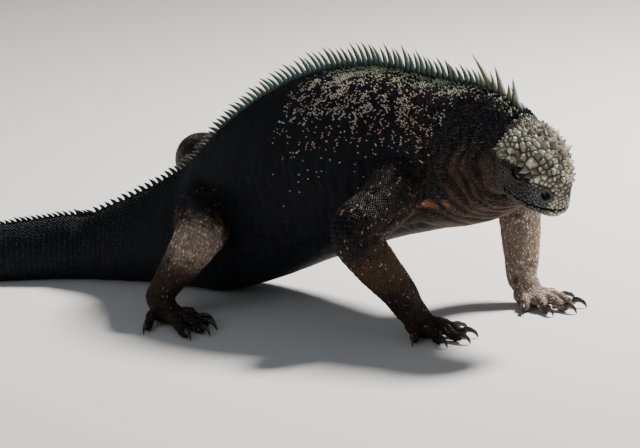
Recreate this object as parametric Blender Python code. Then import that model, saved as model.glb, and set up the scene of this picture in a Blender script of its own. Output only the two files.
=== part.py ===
"""A marine iguana, life size, standing on a flat floor: one solid for each part of its body.

+X runs forward along the trunk, +Y to the animal's left and +Z up. The origin is on the floor under the vent.
The flesh is lofted whole from named stations, fused, thinned, and then parted with thin cuts.
"""

import math
import random
from collections import Counter

import bmesh
import bpy
from mathutils import Matrix, Vector, geometry
from mathutils.bvhtree import BVHTree

# Driving sizes. Every station below is in millimetres on an animal 410 mm from snout to vent.
SNOUT_TO_VENT = 0.410
UNIT = SNOUT_TO_VENT / 410.0
GAP = 0.0003
KNIFE_MARGIN = 2.0
FLOOR_SINK = 1.2
FUSE_VOXEL = 2.0
BASE_SMOOTHING = 0.12
FLESH_TRIANGLES = 5200

# Trunk stations: along, across, height of the back, height of the underside, half width.
TRUNK = (
    (-120, -22, 60, -1.2, 25),
    (-60, -4, 88, -1.4, 35),
    (-20, 0, 111, -1.6, 44),
    (20, 0, 146, -0.5, 53),
    (70, 0, 178, 14, 64),
    (125, 0, 200, 36, 71),
    (185, 0, 208, 58, 69),
    (245, -1, 202, 75, 58),
    (288, -4, 199, 84, 46),
    (312, -9, 195, 94, 40),
    (334, -14, 186, 106, 33),
)
BACK_POWER = 1.75
BELLY_POWER = 2.3
WIDEST_AT = 0.42

# The tail lies on the floor in one slow bend each way.
TAIL_LENGTH = 480.0
TAIL_STEP = 24.0
TAIL_SWING = 40.0
TAIL_SWING_START = 60.0
TAIL_SWING_SPAN = 420.0
TAIL_OVERRUN = 1.03
TAIL_HEIGHT_POWER = 0.85
TAIL_WIDTH_POWER = 1.15

# The head has its own axes: forward along the skull, left, and up from the jaw joint.
HEAD_AT = (331, -13, 142)
HEAD_YAW = -24.0
HEAD_PITCH = -19.0
HEAD = (
    (-16, 33, -31, 27),
    (0, 35, -32, 30.5),
    (14, 35.5, -30, 30),
    (27, 33.5, -27, 26.5),
    (39, 29.5, -25, 22),
    (49.5, 23.5, -23.5, 18),
    (56, 16, -22, 14),
    (60.5, 6, -19.5, 10),
    (62.5, -3, -15.5, 5),
)
HEAD_TOP_POWER = 2.5
HEAD_BOTTOM_POWER = 2.2
HEAD_WIDEST_AT = 0.5

EYE_AT = (29, 17.0, 6)
EYE_RADIUS = 7.0
LID_RADIUS = 8.7
NOSTRIL_AT = (55.5, 9.0, -2)
NOSTRIL_RADIUS = 2.0
EAR_AT = (-1, 30.0, -2)
EAR_RADIUS = 3.8
MOUTH_LINE = ((84, -10), (60, -12), (44, -13.5), (31, -12), (21, -8.5), (-2, -54))
MOUTH_CUT = 0.45

# Limb stations: x, y, z, radius, from inside the trunk to the wrist or ankle.
ARM_RIGHT = ((232, -24, 130, 27), (239, -52, 122, 25), (238, -82, 107, 22), (232, -108, 93, 20.5),
             (240, -95, 66, 18.5), (248, -78, 42, 15.5), (253, -67, 23, 13))
ARM_LEFT = ((246, 24, 130, 27), (252, 50, 120, 25), (259, 72, 102, 21.5), (264, 83, 84, 19.5),
            (270, 77, 61, 17.5), (276, 68, 39, 15), (279, 62, 23, 13))
LEG_RIGHT = ((22, -14, 70, 38), (30, -42, 72, 33), (44, -70, 72, 26), (56, -92, 69, 21),
             (46, -101, 50, 17.5), (33, -108, 31, 13), (24, -111, 18, 12))
LEG_LEFT = ((18, 14, 76, 38), (6, 40, 82, 31), (-34, 53, 94, 25), (-66, 63, 100, 20.5),
            (-76, 73, 74, 18), (-87, 83, 43, 13.5), (-92, 88, 20, 12))

# Feet: centre of the palm or sole, heading in degrees, half length and half width.
HAND_RIGHT = ((264, -63), -14, 17, 14.5)
HAND_LEFT = ((291, 58), -6, 17, 14.5)
FOOT_RIGHT = ((40, -120), -26, 24, 13)
FOOT_LEFT = ((-82, 107), 58, 24, 13)
FOOT_HALF_HEIGHT = 9.0
# Digits: angle towards the inner side, start ahead of the centre, start across, length, radius.
HAND_DIGITS = (
    (58, 2, 9, 18, 4.8), (26, 9, 7, 25, 4.9), (5, 11, 1, 30, 5.0),
    (-15, 9, -6, 28, 4.9), (-48, 2, -10, 19, 4.6),
)
FOOT_DIGITS = (
    (40, 8, 9, 20, 4.8), (20, 15, 6, 31, 5.0), (6, 17, 1, 42, 5.1),
    (-8, 14, -5, 50, 5.1), (-38, -4, -10, 32, 4.7),
)
CLAW_LENGTH = 15.0
CLAW_RADIUS = 2.9

# Crest spines on the nape: place along the trunk's stations, height and lean.
NAPE_SPINES = (
    (9.97, 12, 1.2), (9.7, 19, 0.65), (9.42, 12, 0.6), (9.1, 21, 0.75),
    (8.82, 14, 0.8), (8.56, 27, 1.0), (8.22, 14, 0.8),
)
NAPE_STEP = 8.0
# Crest spines behind them: place along the trunk's stations, height, step to the next, and lean.
CREST = (
    (7.98, 14, 6.8, 0.5), (7.4, 15, 6.8, 0.4), (6.9, 20, 6.6, 0.35), (5.5, 20, 6.6, 0.35),
    (4.0, 16, 6.6, 0.4), (2.6, 10, 6.6, 0.4), (1.0, 7, 7.2, 0.4), (0.0, 6, 8.4, 0.4),
)
TAIL_CREST_HEIGHT = 6.0
TAIL_CREST_STEP = 9.0
TAIL_CREST_LEAN = 0.4
SPINE_SUNK = 4.0
LOW_SPINE = 9.0

SCUTE_ROWS = 10
SCUTE_SEED = 7
SCUTE_PROBE = 80.0

PARTS = (
    ("neck", (300, -6, 140)),
    ("chest", (215, 0, 130)),
    ("belly", (140, 0, 120)),
    ("hips", (10, 0, 60)),
    ("arm_right", (234, -94, 104)),
    ("forearm_right", (243, -88, 58)),
    ("hand_right", (268, -64, 8)),
    ("arm_left", (261, 77, 97)),
    ("forearm_left", (272, 74, 55)),
    ("hand_left", (295, 58, 8)),
    ("thigh_right", (51, -84, 72)),
    ("shank_right", (40, -104, 43)),
    ("foot_right", (50, -124, 8)),
    ("thigh_left", (-54, 60, 99)),
    ("shank_left", (-80, 77, 62)),
    ("foot_left", (-74, 118, 8)),
)


def mm(*values):
    """A point given in station millimetres, in metres."""
    return Vector(values) * UNIT


def through(rows, place):
    """The row at a fractional place along a table, on a smooth curve through every row."""
    last = len(rows) - 1
    i = min(int(place), last - 1)
    t = place - i
    a, b, c, d = (rows[min(max(i + k, 0), last)] for k in (-1, 0, 1, 2))
    return tuple(
        0.5 * (2 * q + (r - p) * t + (2 * p - 5 * q + 4 * r - s) * t * t + (3 * q - p - 3 * r + s) * t ** 3)
        for p, q, r, s in zip(a, b, c, d)
    )


def sampled(rows, per_row):
    count = (len(rows) - 1) * per_row
    return [through(rows, k / per_row) for k in range(count)] + [tuple(map(float, rows[-1]))]


def tail_rows():
    """Stations from the tip of the tail up to the first trunk station, in the trunk's columns."""
    x, y, height, low, half_width = TRUNK[0]
    rows = []
    walked = TAIL_STEP
    while walked <= TAIL_LENGTH:
        swing = TAIL_SWING * math.sin(math.pi * (walked + TAIL_SWING_START) / TAIL_SWING_SPAN)
        x -= TAIL_STEP * math.cos(math.radians(swing))
        y -= TAIL_STEP * math.sin(math.radians(swing))
        left = 1 - walked / (TAIL_LENGTH * TAIL_OVERRUN)
        tapered = max(half_width * left ** TAIL_WIDTH_POWER, 1.2)
        rows.append((x, y, height * left ** TAIL_HEIGHT_POWER, low, tapered))
        walked += TAIL_STEP
    return rows[::-1]


BODY = tail_rows() + list(TRUNK)
TAIL_ROWS = len(BODY) - len(TRUNK)


def superellipse(angle, half_width, up, down, top_power, bottom_power):
    c, s = math.cos(angle), math.sin(angle)
    power, reach = (top_power, up) if s >= 0 else (bottom_power, down)
    return (
        math.copysign(abs(c) ** (2 / power), c) * half_width,
        math.copysign(abs(s) ** (2 / power), s) * reach,
    )


def body_frame(place):
    """Where the body line is at a place along BODY: its row, its forward direction and its side."""
    row = through(BODY, place)
    ahead, behind = through(BODY, min(place + 0.05, len(BODY) - 1)), through(BODY, max(place - 0.05, 0))
    forward = Vector((ahead[0] - behind[0], ahead[1] - behind[1], 0)).normalized()
    return row, forward, Vector((-forward.y, forward.x, 0))


def body_point(row, side, angle, offset=0.0):
    """A point on the trunk's section, at an angle from its left side over its back and off its surface."""
    x, y, top, low, half_width = row
    middle = low + (top - low) * WIDEST_AT
    up, down = top - middle + offset, middle - low + offset
    across, rise = superellipse(angle, half_width + offset, up, down, BACK_POWER, BELLY_POWER)
    return (Vector((x, y, middle + rise)) + side * across) * UNIT


def body_ring(place, points):
    row, _, side = body_frame(place)
    return [body_point(row, side, 2 * math.pi * k / points) for k in range(points)]


def head_axes():
    yaw, pitch = math.radians(HEAD_YAW), math.radians(HEAD_PITCH)
    forward = Vector((math.cos(pitch) * math.cos(yaw), math.cos(pitch) * math.sin(yaw), math.sin(pitch)))
    left = Vector((-math.sin(yaw), math.cos(yaw), 0))
    return forward, left, forward.cross(left)


def head_point(x, y, z):
    """A point in the head's own axes, in world metres."""
    forward, left, up = head_axes()
    return (Vector(HEAD_AT) + forward * x + left * y + up * z) * UNIT


def head_ring(row, points):
    x, top, low, half_width = row
    middle = low + (top - low) * HEAD_WIDEST_AT
    ring = []
    for k in range(points):
        angle = 2 * math.pi * k / points
        across, rise = superellipse(
            angle, half_width, top - middle, middle - low, HEAD_TOP_POWER, HEAD_BOTTOM_POWER
        )
        ring.append(head_point(x, across, middle + rise))
    return ring


def add_loft(bm, rings):
    """Skins a list of rings and closes both ends."""
    made = [[bm.verts.new(p) for p in ring] for ring in rings]
    count = len(rings[0])
    for a, b in zip(made, made[1:]):
        for k in range(count):
            n = (k + 1) % count
            bm.faces.new((a[k], a[n], b[n], b[k]))
    bm.faces.new(made[0][::-1])
    bm.faces.new(made[-1])


def tube_rings(stations, sides, squash=1.0):
    """Round rings along a path of (x, y, z, radius) in metres, with rounded ends."""
    points = [Vector(s[:3]) for s in stations]
    radii = [s[3] for s in stations]
    rings = []
    side = None
    for i, point in enumerate(points):
        along = (points[min(i + 1, len(points) - 1)] - points[max(i - 1, 0)]).normalized()
        if side is None:
            side = along.cross(Vector((0, 0, 1)))
            side = side.normalized() if side.length > 0.1 else Vector((0, 1, 0))
        side = (side - along * side.dot(along)).normalized()
        up = side.cross(along)
        ends = [(0.0, 1.0)]
        if i == 0:
            ends = [(-0.8, 0.5), (-0.45, 0.85), (0.0, 1.0)]
        elif i == len(points) - 1:
            ends = [(0.0, 1.0), (0.45, 0.85), (0.8, 0.5)]
        for shift, share in ends:
            centre = point + along * radii[i] * shift
            rings.append([
                centre + (side * math.cos(a) + up * math.sin(a) * squash) * radii[i] * share
                for a in (2 * math.pi * k / sides for k in range(sides))
            ])
    return rings


def add_tube(bm, stations, sides=14, per_row=4):
    metres = [tuple(v * UNIT for v in s) for s in stations]
    add_loft(bm, tube_rings(sampled(metres, per_row), sides))


def add_ball(bm, centre, radii, turn=0.0):
    matrix = Matrix.Translation(centre) @ Matrix.Rotation(turn, 4, "Z") @ Matrix.Diagonal((*radii, 1))
    bmesh.ops.create_icosphere(bm, subdivisions=3, radius=1.0, matrix=matrix)


def digit_paths(foot, digits, inner):
    """For each digit of a foot: the stations of its flesh, and the place, heading and radius of its claw."""
    (x, y), heading, _, _ = foot
    found = []
    for angle, ahead, across, length, radius in digits:
        base = math.radians(heading)
        forward = Vector((math.cos(base), math.sin(base), 0))
        side = Vector((-forward.y, forward.x, 0)) * inner
        way = math.radians(heading + angle * inner)
        along = Vector((math.cos(way), math.sin(way), 0))
        start = Vector((x, y, 0)) + forward * ahead + side * across
        heights = (radius + 2.5, radius + 4.0, radius + 3.0, radius - 0.4, radius - FLOOR_SINK + 0.4)
        widths = (1.12, 1.06, 1.0, 0.94, 0.9)
        stations = [
            (*(start + along * length * share).xy, height, radius * width)
            for share, height, width in zip((0.0, 0.3, 0.55, 0.85, 1.1), heights, widths)
        ]
        found.append((stations, start + along * length, along, radius))
    return found


LIMBS = (
    ("hand_right", ARM_RIGHT, HAND_RIGHT, HAND_DIGITS, 1),
    ("hand_left", ARM_LEFT, HAND_LEFT, HAND_DIGITS, -1),
    ("foot_right", LEG_RIGHT, FOOT_RIGHT, FOOT_DIGITS, 1),
    ("foot_left", LEG_LEFT, FOOT_LEFT, FOOT_DIGITS, -1),
)


def new_object(name, bm):
    mesh = bpy.data.meshes.new(name)
    bmesh.ops.recalc_face_normals(bm, faces=bm.faces)
    bm.to_mesh(mesh)
    bm.free()
    made = bpy.data.objects.new(name, mesh)
    bpy.context.scene.collection.objects.link(made)
    return made


def apply_modifiers(made):
    graph = bpy.context.evaluated_depsgraph_get()
    mesh = bpy.data.meshes.new_from_object(made.evaluated_get(graph))
    made.modifiers.clear()
    old = made.data
    made.data = mesh
    bpy.data.meshes.remove(old)


def boolean(made, others, operation):
    """Joins the helpers to an object, or cuts them from it, and removes them."""
    helpers = bpy.data.collections.new("helpers")
    bpy.context.scene.collection.children.link(helpers)
    for other in others:
        bpy.context.scene.collection.objects.unlink(other)
        helpers.objects.link(other)
    modifier = made.modifiers.new("Boolean", "BOOLEAN")
    modifier.operation = operation
    modifier.solver = "MANIFOLD"
    modifier.operand_type = "COLLECTION"
    modifier.collection = helpers
    apply_modifiers(made)
    for other in others:
        bpy.data.objects.remove(other)
    bpy.data.collections.remove(helpers)


def add_mouth_and_brows(bm):
    """Ridges of the head that the lofted sections lack: lips, brows and the tubes of the nostrils."""
    for side in (-1, 1):
        brow = ((8, 23.8, 17.5), (18, 23.2, 18.3), (29, 20.3, 18.5), (39, 15.5, 16))
        add_path(bm, [(*p, 4.2) for p in brow], side)
        for rise, radius in ((2.2, 2.6), (-2.6, 2.4)):
            lip = ((22, 25.8), (32, 22.3), (44, 17.9), (52, 14), (57.8, 9.3), (61.5, 4), (62.5, 0))
            add_path(bm, [(x, y, mouth_height(x) + rise, radius) for x, y in lip], side)
        tube = head_point(NOSTRIL_AT[0] - 2, side * (NOSTRIL_AT[1] - 1), NOSTRIL_AT[2] + 1)
        add_ball(bm, tube, [5.0 * UNIT] * 3)


def mouth_height(x):
    """Height of the mouth line in the head's axes."""
    for (x1, z1), (x0, z0) in zip(MOUTH_LINE, MOUTH_LINE[1:]):
        if x0 <= x <= x1:
            return z0 + (z1 - z0) * (x - x0) / (x1 - x0)
    return MOUTH_LINE[-2][1]


def add_path(bm, rows, side):
    """A thin tube through points in the head's axes, on one side of the head."""
    stations = []
    for x, y, z, radius in sampled(rows, 3):
        stations.append((*head_point(x, y * side, z), radius * UNIT))
    add_loft(bm, tube_rings(stations, 8))


def make_flesh():
    """The whole body as one closed, thinned surface, cut flat where it meets the floor."""
    bm = bmesh.new()
    per_row = 4
    add_loft(bm, [body_ring(k / per_row, 40) for k in range((len(BODY) - 1) * per_row + 1)])
    add_loft(bm, [head_ring(row, 40) for row in sampled(HEAD, 5)])
    add_mouth_and_brows(bm)
    for _, limb, foot, digits, inner in LIMBS:
        add_tube(bm, limb)
        (x, y), heading, half_length, half_width = foot
        radii = (half_length * UNIT, half_width * UNIT, FOOT_HALF_HEIGHT * UNIT)
        add_ball(bm, mm(x, y, FOOT_HALF_HEIGHT - FLOOR_SINK), radii, math.radians(heading))
        ankle = limb[-1]
        add_tube(bm, (ankle, (x, y, FOOT_HALF_HEIGHT, FOOT_HALF_HEIGHT + 1.5)))
        for stations, _, _, _ in digit_paths(foot, digits, inner):
            add_tube(bm, stations, 10)
    flesh = new_object("flesh", bm)
    fuse = flesh.modifiers.new("Fuse", "REMESH")
    fuse.mode = "VOXEL"
    fuse.voxel_size = FUSE_VOXEL * UNIT
    apply_modifiers(flesh)
    soften(flesh)
    thin = flesh.modifiers.new("Thin", "DECIMATE")
    thin.ratio = FLESH_TRIANGLES / sum(len(p.vertices) - 2 for p in flesh.data.polygons)
    apply_modifiers(flesh)
    bm = bmesh.new()
    below = Matrix.Translation((0, 0, -0.5)) @ Matrix.Diagonal((3, 3, 1, 1))
    bmesh.ops.create_cube(bm, size=1.0, matrix=below)
    boolean(flesh, [new_object("below_floor", bm)], "DIFFERENCE")
    return flesh


# Where the fused shells are smoothed into each other: centre, reach and strength.
JUNCTIONS = (
    ((318, -10, 140), 42, 1.6), ((238, -50, 122), 46, 1.6), ((254, 48, 120), 46, 1.6),
    ((28, -44, 74), 50, 1.6), ((2, 40, 84), 50, 1.6), ((232, -106, 92), 26, 1.6),
    ((264, 83, 84), 26, 1.6), ((56, -92, 69), 26, 1.6), ((-66, 63, 100), 26, 1.6),
    ((30, -114, 20), 24, 0.7), ((-90, 92, 22), 22, 0.6), ((257, -65, 22), 20, 0.6), ((283, 60, 22), 20, 0.6),
)


def soften(flesh):
    group = flesh.vertex_groups.new(name="junctions")
    spots = [(mm(*centre), reach * UNIT, strength) for centre, reach, strength in JUNCTIONS]
    for vertex in flesh.data.vertices:
        weights = [s * (1 - (vertex.co - centre).length / reach) for centre, reach, s in spots]
        group.add([vertex.index], min(BASE_SMOOTHING + max(weights + [0]), 1.0), "REPLACE")
    smooth = flesh.modifiers.new("Smooth", "SMOOTH")
    smooth.factor = 0.5
    smooth.iterations = 24
    smooth.vertex_group = group.name
    apply_modifiers(flesh)


def section_loops(flesh, centre, normal):
    """The closed outlines in which a plane meets the flesh, as points in the plane's own two axes."""
    across = normal.orthogonal().normalized()
    rise = normal.cross(across)
    bm = bmesh.new()
    bm.from_mesh(flesh.data)
    whole = bm.verts[:] + bm.edges[:] + bm.faces[:]
    cut = bmesh.ops.bisect_plane(bm, geom=whole, plane_co=centre, plane_no=normal)
    edges = [e for e in cut["geom_cut"] if isinstance(e, bmesh.types.BMEdge)]
    beside = {}
    for edge in edges:
        for vertex in edge.verts:
            beside.setdefault(vertex, []).append(edge.other_vert(vertex))
    left = set(beside)
    loops = []
    while left:
        walk = [left.pop()]
        while True:
            onward = [v for v in beside[walk[-1]] if v in left]
            if not onward:
                break
            walk.append(onward[0])
            left.discard(onward[0])
        spots = [v.co - centre for v in walk]
        loops.append([(spot.dot(across), spot.dot(rise)) for spot in spots])
    bm.free()
    return loops, across, rise


def encloses(loop):
    """True where an outline goes round the plane's origin."""
    inside = False
    for (x0, y0), (x1, y1) in zip(loop, loop[1:] + loop[:1]):
        if (y0 > 0) != (y1 > 0) and x0 + (x1 - x0) * -y0 / (y1 - y0) > 0:
            inside = not inside
    return inside


def knife(flesh, centre, normal, thickness=GAP):
    """A thin sheet just wider than the part it is to cut through."""
    centre, normal = mm(*centre), Vector(normal).normalized()
    loops, across, rise = section_loops(flesh, centre, normal)
    loop = min((one for one in loops if encloses(one)), key=lambda one: max(math.hypot(*p) for p in one))
    hull = [loop[k] for k in geometry.convex_hull_2d(loop)]
    middle = (sum(p[0] for p in hull) / len(hull), sum(p[1] for p in hull) / len(hull))
    bm = bmesh.new()
    rings = []
    for side in (-0.5, 0.5):
        ring = []
        for x, y in hull:
            x, y = x - middle[0], y - middle[1]
            grow = 1 + KNIFE_MARGIN * UNIT / math.hypot(x, y)
            spot = centre + across * (middle[0] + x * grow) + rise * (middle[1] + y * grow)
            ring.append(spot + normal * side * thickness)
        rings.append(ring)
    add_loft(bm, rings)
    return new_object("knife", bm)


def root_knife(start, end, low_angle, high_angle):
    """A thin curved sheet that follows the trunk's side at a small distance, under the root of a limb."""
    steps = 9
    angles = [math.radians(low_angle + (high_angle - low_angle) * k / steps) for k in range(steps + 1)]
    rings = []
    for k in range(steps + 1):
        row, _, side = body_frame(TAIL_ROWS + start + (end - start) * k / steps)
        inner = [body_point(row, side, angle, ROOT_OFFSET) for angle in angles]
        outer = [body_point(row, side, angle, ROOT_OFFSET + 1.2 * GAP / UNIT) for angle in angles]
        rings.append(inner + outer[::-1])
    bm = bmesh.new()
    add_loft(bm, rings)
    return new_object("root_knife", bm)


def jaw_knife():
    """A thin bent sheet along the mouth line, down behind the jaw."""
    bm = bmesh.new()
    half = MOUTH_CUT / 2
    outline = [(x, z + half) for x, z in MOUTH_LINE[:-2]]
    corner, throat = MOUTH_LINE[-2], MOUTH_LINE[-1]
    outline += [(corner[0] - half, corner[1] + half), (throat[0] - half, throat[1])]
    outline += [(throat[0] + half, throat[1]), (corner[0] + half, corner[1] - half)]
    outline += [(x, z - half) for x, z in MOUTH_LINE[-3::-1]]
    reach = 60
    rings = [[head_point(x, y, z) for x, z in outline] for y in (-reach, reach)]
    add_loft(bm, rings)
    return new_object("jaw_knife", bm)


# Knives across the trunk: place along BODY counted from the first trunk station, and lean in degrees.
TRUNK_KNIVES = ((0.0, 0), (4.15, 22), (6.2, 6), (7.72, 0))
TAIL_KNIVES = (4.5, 9.0, 13.0, 16.8)
# Where each limb is parted from the trunk: a patch just off the trunk's surface, between two places along
# its stations and two angles round it, counted from its left side over its back.
LIMB_ROOTS = {
    "hand_right": (6.1, 7.9, 140, 250),
    "hand_left": (6.25, 8.3, -70, 45),
    "foot_right": (1.75, 4.6, 135, 240),
    "foot_left": (0.3, 3.9, -50, 82),
}
ROOT_OFFSET = 4.0
BEND_ROW = 3
WRIST_PLACE = 5.35


def limb_knives(flesh):
    """Knives at the root, the elbow or knee, and the wrist or ankle of each limb, and at each toe's end."""
    made = []
    for name, limb, foot, digits, inner in LIMBS:
        made.append(root_knife(*LIMB_ROOTS[name]))
        points = [Vector(row[:3]) for row in limb]
        bend = points[BEND_ROW]
        into, onward = bend - points[BEND_ROW - 1], points[BEND_ROW + 1] - bend
        made.append(knife(flesh, bend, into.normalized() + onward.normalized()))
        made.append(knife(flesh, through(limb, WRIST_PLACE)[:3], (0, 0, 1)))
        for _, end, along, radius in digit_paths(foot, digits, inner):
            made.append(knife(flesh, (end.x, end.y, radius * 0.8), along, 2 * GAP))
    return made


def body_knives(flesh):
    made = []
    for place, lean in TRUNK_KNIVES:
        row, forward, _ = body_frame(TAIL_ROWS + place)
        lean = math.radians(lean)
        normal = forward * math.cos(lean) + Vector((0, 0, math.sin(lean)))
        made.append(knife(flesh, (row[0], row[1], (row[2] + row[3]) / 2), normal))
    for place in TAIL_KNIVES:
        row, forward, _ = body_frame(place)
        made.append(knife(flesh, (row[0], row[1], row[2] / 2), forward))
    forward = head_axes()[0]
    made.append(knife(flesh, Vector(HEAD_AT) + forward * -12, forward))
    return made


def loose_parts(made):
    """Splits an object into one bmesh for each closed surface, in the order of their first points."""
    bm = bmesh.new()
    bm.from_mesh(made.data)
    bmesh.ops.triangulate(bm, faces=bm.faces)
    bm.verts.index_update()
    owner = [None] * len(bm.verts)
    count = 0
    for first in bm.verts:
        if owner[first.index] is not None:
            continue
        owner[first.index] = count
        stack = [first]
        while stack:
            for edge in stack.pop().link_edges:
                for vertex in edge.verts:
                    if owner[vertex.index] is None:
                        owner[vertex.index] = count
                        stack.append(vertex)
        count += 1
    # Two triangles back to back on the same three points hold nothing between them, so both are left out.
    corners = [tuple(v.index for v in face.verts) for face in bm.faces]
    tally = Counter(tuple(sorted(points)) for points in corners)
    corners = [points for points in corners if tally[tuple(sorted(points))] == 1]
    parts = []
    for number in range(count):
        faces = [points for points in corners if owner[points[0]] == number]
        if len(faces) < 4:
            continue
        part = bmesh.new()
        verts = {v.index: part.verts.new(v.co) for v in bm.verts if owner[v.index] == number}
        for points in faces:
            part.faces.new([verts[k] for k in points])
        part.normal_update()
        parts.append(part)
    bm.free()
    return parts


def keep_largest(made):
    parts = loose_parts(made)
    best = max(parts, key=lambda part: part.calc_volume())
    for part in parts:
        if part is not best:
            part.free()
    bmesh.ops.recalc_face_normals(best, faces=best.faces)
    best.to_mesh(made.data)
    best.free()


def part_seeds():
    seeds = [(name, mm(*place)) for name, place in PARTS]
    seeds.append(("head", head_point(20, 0, 8)))
    seeds.append(("lower_jaw", head_point(42, 0, -19)))
    edges = [0.0, *TAIL_KNIVES, float(TAIL_ROWS)]
    for k, (a, b) in enumerate(zip(edges, edges[1:])):
        row = through(BODY, (a + b) / 2)
        seeds.append((f"tail_{len(edges) - 1 - k}", mm(row[0], row[1], row[2] / 2)))
    return seeds


def holds(tree, point):
    """True where a ray upwards from the point leaves the surface an odd number of times."""
    crossings = 0
    hit = tree.ray_cast(point, Vector((0, 0, 1)))[0]
    while hit is not None:
        crossings += 1
        hit = tree.ray_cast(hit + Vector((0, 0, 1e-6)), Vector((0, 0, 1)))[0]
    return crossings % 2 == 1


def cut_into_parts(flesh):
    """Parts the flesh and names each piece after the seed that it holds; toe ends hold none and go."""
    knives = body_knives(flesh) + limb_knives(flesh) + [jaw_knife()]
    boolean(flesh, knives, "DIFFERENCE")
    pieces = loose_parts(flesh)
    bpy.data.objects.remove(flesh)
    nodes = {}
    for part in pieces:
        tree = BVHTree.FromBMesh(part)
        for name in [name for name, place in part_seeds() if holds(tree, place)][:1]:
            nodes[name] = new_object(name, part)
    return nodes


def spine_mesh(bm, root, up, back, height, width, thickness, lean):
    """A flattened spine of four sides that bends back and tapers to its tip."""
    side = up.cross(back).normalized()
    rings = []
    levels = ((-SPINE_SUNK / height, 1.0), (0.12, 0.95), (0.55, 0.62))
    if height < LOW_SPINE:
        levels = (levels[0], levels[2])
    for share, size in levels:
        centre = root + up * height * share + back * height * lean * max(share, 0) ** 2
        rings.append([
            bm.verts.new((centre + back * width * size * a + side * thickness * size * b) * UNIT)
            for a, b in ((0.5, 0), (0, 0.5), (-0.5, 0), (0, -0.5))
        ])
    tip = bm.verts.new((root + up * height + back * height * lean) * UNIT)
    for k in range(4):
        n = (k + 1) % 4
        for low, high in zip(rings, rings[1:]):
            bm.faces.new((low[k], low[n], high[n], high[k]))
        bm.faces.new((rings[-1][k], rings[-1][n], tip))
    bm.faces.new(rings[0][::-1])


def crest_at(place):
    """Height, step and lean of the crest at a place counted from the first trunk station."""
    if place < 0:
        return TAIL_CREST_HEIGHT * (1 + place / (TAIL_ROWS + 4)), TAIL_CREST_STEP, TAIL_CREST_LEAN
    for ahead, behind in zip(CREST, CREST[1:]):
        if behind[0] <= place <= ahead[0]:
            share = (place - behind[0]) / (ahead[0] - behind[0])
            return tuple(b + (a - b) * share for a, b in zip(ahead[1:], behind[1:]))
    return CREST[0][1:]


def crest_spines():
    """Place along BODY, height, step and lean of each spine: the nape's, then steps along the ridge."""
    found = [(TAIL_ROWS + place, height, NAPE_STEP, lean) for place, height, lean in NAPE_SPINES]
    place = TAIL_ROWS + CREST[0][0]
    while place > 2.0:
        found.append((place, *crest_at(place - TAIL_ROWS)))
        here, behind = through(BODY, place), through(BODY, place - 0.02)
        pace = math.dist(here[:3], behind[:3]) / 0.02
        place -= crest_at(place - TAIL_ROWS)[1] / pace
    return found


def add_crest(nodes):
    """Roots each spine in the node under it, leaving out those that would reach into a cut."""
    graph = bpy.context.evaluated_depsgraph_get()
    ridge = ("head", "neck", "chest", "belly", "hips")
    names = [name for name in nodes if name in ridge or name.startswith("tail")]
    trees = {name: BVHTree.FromObject(nodes[name], graph) for name in names}
    shapes = {name: [] for name in names}
    draw = random.Random(11)
    for place, height, step, lean in crest_spines():
        row, _, side = body_frame(place)
        ahead, behind = through(BODY, min(place + 0.05, len(BODY) - 1)), through(BODY, place - 0.05)
        along = Vector([a - b for a, b in zip(ahead[:3], behind[:3])]).normalized()
        up = along.cross(side).normalized()
        height *= draw.uniform(0.9, 1.08)
        width = min(0.2 * height + 2.6, 0.72 * step)
        probe = (Vector(row[:3]) + up * 25) * UNIT
        hits = {name: tree.ray_cast(probe, -up) for name, tree in trees.items()}
        hits = {name: hit for name, hit in hits.items() if hit[0] is not None}
        if not hits:
            continue
        name = min(hits, key=lambda one: hits[one][3])
        point = hits[name][0]
        # The whole root has to stand on this node, a little clear of its cut faces.
        reach = (width / 2 + 0.7) * UNIT
        feet = [trees[name].ray_cast(probe + along * shift, -up)[3] for shift in (-reach, reach)]
        if any(foot is None or abs(foot - hits[name][3]) > 1.5 * reach for foot in feet):
            continue
        bm = bmesh.new()
        spine_mesh(bm, point / UNIT, up, -along, height, width, 0.66 * width, lean)
        shapes[name].append(new_object("spine", bm))
    for name, spines in shapes.items():
        if spines:
            boolean(nodes[name], spines, "UNION")
            keep_largest(nodes[name])


def scute_places():
    """Places of the cone-shaped scutes on top of the head: along, across and size, largest over the snout."""
    draw = random.Random(SCUTE_SEED)
    places = []
    for row in range(SCUTE_ROWS):
        x = -5 + row * 7.0
        half = 25.0 - 0.22 * max(x - 18, 0) - 0.004 * max(x - 18, 0) ** 2
        size = 5.4 + 2.4 * math.sin(math.pi * min(max((x + 6) / 62, 0), 1))
        count = max(int(2 * half / (size * 1.12)), 2)
        for k in range(count):
            y = -half + 2 * half * (k + 0.5) / count
            along, across = x + draw.uniform(-1.1, 1.1), y + draw.uniform(-0.8, 0.8)
            places.append((along, across, size * draw.uniform(0.85, 1.1)))
    return places


def scute_mesh(bm, root, normal, lean, size):
    """A blunt five-sided cone, sunk into the head."""
    turn = Vector((0, 0, 1)).rotation_difference(normal).to_matrix()
    rings = []
    for height, share, shift in ((-1.6 / size, 0.78, 0.0), (0.36, 0.26, 0.12)):
        centre = root + (normal * height + lean * shift) * size * UNIT
        rings.append([
            bm.verts.new(centre + turn @ Vector((math.cos(a), math.sin(a), 0)) * size * share * UNIT)
            for a in (2 * math.pi * k / 5 for k in range(5))
        ])
    tip = bm.verts.new(root + (normal * 0.47 + lean * 0.16) * size * UNIT)
    for k in range(5):
        n = (k + 1) % 5
        bm.faces.new((rings[0][k], rings[0][n], rings[1][n], rings[1][k]))
        bm.faces.new((rings[1][k], rings[1][n], tip))
    bm.faces.new(rings[0][::-1])


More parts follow.
